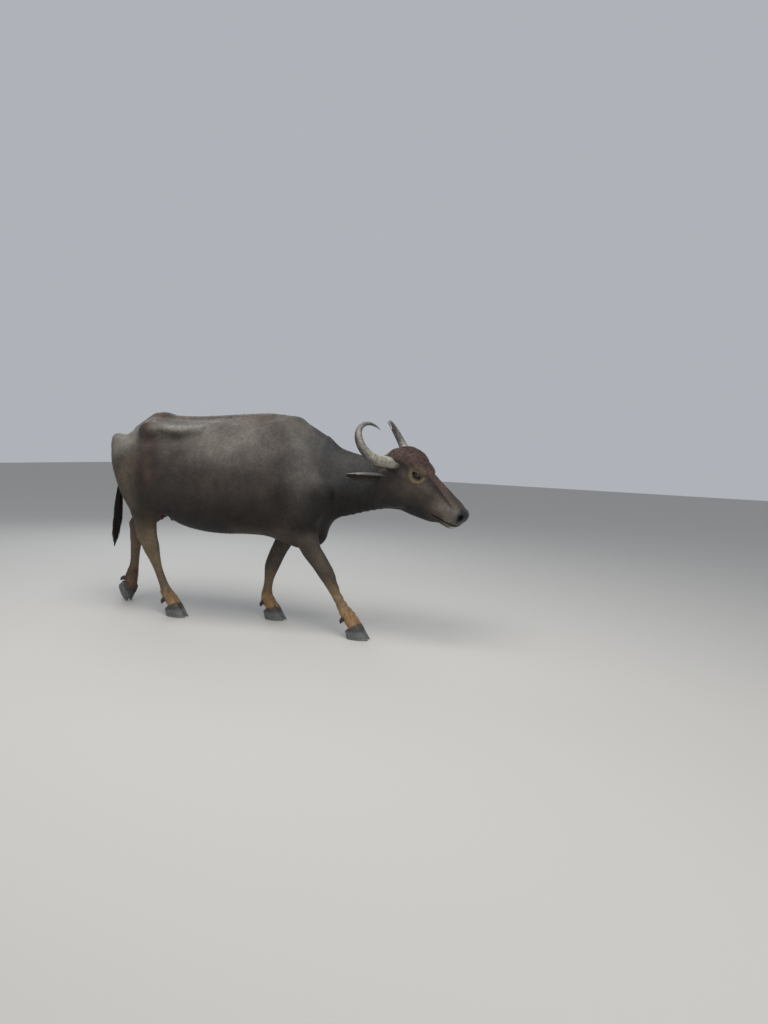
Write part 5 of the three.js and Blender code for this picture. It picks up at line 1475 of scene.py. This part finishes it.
# Zones of the coat: weight of each face, tufts, length in millimetres, unruliness and tint, a factor that paints
# the tufts lighter than the coat against their own shade
legs = smoothstep(600, 540, fz) * (fx < 1080) * (np.abs(fy) > 50)
trunkPart = (1 - onHead) * (1 - legs) * (fz > 520)
coronetGap = np.min([np.abs((faceMiddle - np.array(c)) @ np.array(d)) for c, d in coronets.values()], axis=0)
tailPart = (fx < -715) & (np.abs(fy) < 40)
bodyPart = trunkPart * (1 - tailPart)
backPart = smoothstep(0.6, 0.9, faceOut[:, 2]) * smoothstep(1080, 1180, fz + 0.35 * np.maximum(fx - 500, 0))
underPart = (1 - onHead * 0.4) * smoothstep(-0.4, -0.8, faceOut[:, 2]) * bare
crownPart = smoothstep(112, 135, fv) * smoothstep(215, 160, fu)
fetlockPart = smoothstep(215, 150, fz - 60 * (fx < -600)) * (coronetGap < 120)
zones = {
    "hair_body_right": (bodyPart * (fy < 0), 2600, 13, 0.22, 2.0, shortTuft),
    "hair_body_left": (bodyPart * (fy >= 0), 2600, 13, 0.22, 2.0, shortTuft),
    "hair_back": (trunkPart * backPart, 900, 14, 0.2, 1.9, longTuft),
    "hair_under": (underPart * (fz > 500), 1100, 15, 0.35, 1.3, longTuft),
    "hair_crown": (onHead * bare * crownPart, 1750, 13.6, 0.15, 1.25, longTuft),
    "hair_face": (onHead * bare * smoothstep(430, 330, fu), 1900, 9, 0.2, 1.8, shortTuft),
    "hair_legs": (legs * (fz > 70), 2100, 11, 0.25, 1.6, shortTuft),
    "hair_fetlocks": (legs * fetlockPart, 1200, 19, 0.35, 1.15, longTuft),
    "hair_tail": (tailPart * (fz > 735) * smoothstep(1120, 900, fz), 420, 20, 0.1, 1.1, longTuft)}
for number, (name, (weight, count, long, unruly, shade, tuft)) in enumerate(zones.items()):
    odds = weight * area
    chosen = rng.choice(len(tris), count, p=odds / odds.sum())
    a, b = rng.random((2, count, 1))
    over = a + b > 1
    a, b = np.where(over, 1 - a, a), np.where(over, 1 - b, b)
    roots = corner[chosen, 0] * (1 - a - b) + corner[chosen, 1] * a + corner[chosen, 2] * b
    tint, _ = coatWithPaintedLight(roots)
    # painted light: the factor lightens each tuft above the coat's colour, to make up for the shade the tufts cast
    # on themselves and each other
    tint = tint * shade * rng.uniform(0.7, 1.3, (count, 1))
    sizes = np.full((count, 3), float(long)) * (1, 1, hairLook["flatness"])
    plant(name, roots, faceOut[chosen], lieOf(roots), sizes, tint, tuft, Unruly=unruly, Seed=number + 3)

# Fringes of the ears: along the rim and in the cup
fringe = {"tufts": 420, "length": 12.0, "unruly": 0.3}
for s, word in ((-1, "right"), (1, "left")):
    places, inner, along = ears[s]
    t, off = along.T
    weight = ((off > 0.85) * 3.0 + inner * (off > 0.2) * 0.8) * (t > 0.04) * (t < 0.985)
    chosen = rng.choice(len(places), fringe["tufts"], p=weight / weight.sum())
    root = places[chosen]
    around = 2 * (earSize["across"] + 1)
    base, end = places[:around].mean(axis=0), places[-around:].mean(axis=0)
    tipWay = end - base
    tipWay /= np.linalg.norm(tipWay)
    axis = base + tipWay * ((root - places[0]) @ tipWay)[:, None]
    outward = root - axis
    outward /= np.maximum(np.linalg.norm(outward, axis=1, keepdims=True), 1e-6)
    outward[inner[chosen] & (off[chosen] < 0.85)] *= -1
    lie = tipWay * 0.8 + outward * 0.5
    normal = np.cross(lie, rng.normal(size=(len(root), 3)))
    normal /= np.maximum(np.linalg.norm(normal, axis=1, keepdims=True), 1e-6)
    tint = np.where(inner[chosen][:, None], coatColours["earRim"], coatColours["earBack"])
    tint = tint * rng.uniform(0.6, 1.2, (len(root), 1))
    sizes = np.full((len(root), 3), fringe["length"])
    plant(f"hair_ear_{word}", root, normal, lie, sizes, tint, longTuft, Unruly=fringe["unruly"], Seed=30 + s)

# The switch: long strands that start on the tail and hang to one point
switchSize = {"strands": 680, "swell": 36, "root": 9, "across": 3.2}
switchColours = {"strand": (0.016, 0.014, 0.013), "faded": (0.05, 0.032, 0.022), "fadedShare": 0.12}
switchPath = np.array([(-748, 0, 832), (-749, 0, 771), (-752, 0, 700), (-764, 0, 598), (-770, 0, 520),
                       (-783, 0, 430), (-789, 0, 372)], float)


def switchPoint(t):
    stops = np.linspace(0, 1, len(switchPath))
    return np.stack([np.interp(t, stops, switchPath[:, c]) for c in range(3)], axis=1)


count = switchSize["strands"]
start = rng.uniform(0, 1, count) ** 1.1 * 0.60
end = np.minimum(start + rng.uniform(0.32, 0.58, count), 1.0)
spin = rng.uniform(0, 2 * math.pi, count)
ring = np.stack([np.cos(spin), np.sin(spin), 0 * spin], axis=1)
swell = switchSize["swell"] * np.sin(math.pi * np.clip(end, 0, 1) ** 1.5) ** 0.8 * rng.uniform(0.2, 1, count)
root = switchPoint(start) + ring * (switchSize["root"] + 5 * start)[:, None]
goal = switchPoint(end) + ring * swell[:, None]
lie = goal - root
long = np.linalg.norm(lie, axis=1)
across = np.full(count, switchSize["across"])
tint = np.array(switchColours["strand"]) * rng.uniform(0.6, 1.6, (count, 1))
tint[rng.random(count) < switchColours["fadedShare"]] = switchColours["faded"]
outward = ring - lie * (np.einsum("ij,ij->i", ring, lie) / long**2)[:, None]
outward /= np.linalg.norm(outward, axis=1, keepdims=True)
sizes = np.stack([long, across, across * 3], axis=1)
plant("tail_switch_hair", root, outward, lie, sizes, tint, strandTuft, ("tail_switch",), "switch_hair",
      Unruly=0.012, Seed=41, **{"Length spread": 0.05})
for obj in (shortTuft, longTuft, strandTuft):
    bpy.data.objects.remove(obj)
print("coat made")

# Camera, at the photograph's place, and its turn: yaw, pitch and roll
cameraView = {"place": (2.502, -4.337, 1.140), "yaw": -17.85, "pitch": -4.88, "roll": 2.67, "lens": 27.07}
yaw, pitch, roll = (math.radians(cameraView[k]) for k in ("yaw", "pitch", "roll"))
ahead = Vector((math.sin(yaw) * math.cos(pitch), math.cos(yaw) * math.cos(pitch), math.sin(pitch)))
right = Vector((math.cos(yaw), -math.sin(yaw), 0))
up = right.cross(ahead)
right, up = right * math.cos(roll) + up * math.sin(roll), up * math.cos(roll) - right * math.sin(roll)
camera = bpy.data.objects.new("camera", bpy.data.cameras.new("camera"))
camera.data.lens = cameraView["lens"]
camera.data.sensor_width = 36
camera.matrix_world = (Matrix.Translation(Vector(cameraView["place"]) + Vector(shift) * mm)
                       @ Matrix((right, up, -ahead)).transposed().to_4x4())
scene.collection.objects.link(camera)
scene.camera = camera

# A pale floor, and soft light
studio = {"floor": (0.50, 0.49, 0.47), "world": (0.78, 0.82, 0.88), "worldStrength": 0.55}
places = [(-18, -14, -0.0005), (18, -14, -0.0005), (18, 22, -0.0005), (-18, 22, -0.0005)]
faces = [(0, 1, 2, 3)]
paper, nodes, links, shader = newMaterial("paper")
shader.inputs["Base Color"].default_value = (*studio["floor"], 1)
shader.inputs["Roughness"].default_value = 0.9
makeObject("floor", places, faces, paper)
scene.world = bpy.data.worlds.new("studio")
scene.world.use_nodes = True
sky = scene.world.node_tree.nodes["Background"]
sky.inputs[0].default_value = (*studio["world"], 1)
sky.inputs[1].default_value = studio["worldStrength"]
for name, place, aim, size, power, tint in (
        ("above", (0.3, -1.6, 4.6), (0.0, 0.0, 0.8), 3.0, 170, (1, 0.97, 0.92)),
        ("front", (3.6, -3.6, 2.6), (0.6, 0.0, 0.7), 2.5, 45, (1, 0.98, 0.95)),
        ("behind", (-3.0, 3.2, 3.4), (0.0, 0.0, 0.8), 2.5, 60, (0.92, 0.96, 1))):
    lamp = bpy.data.lights.new(name, "AREA")
    lamp.size, lamp.energy, lamp.color = size, power, tint
    obj = bpy.data.objects.new(name, lamp)
    obj.location = place
    obj.rotation_euler = (Vector(aim) - Vector(place)).to_track_quat("-Z", "Y").to_euler()
    scene.collection.objects.link(obj)
scene.view_settings.view_transform = "Standard"
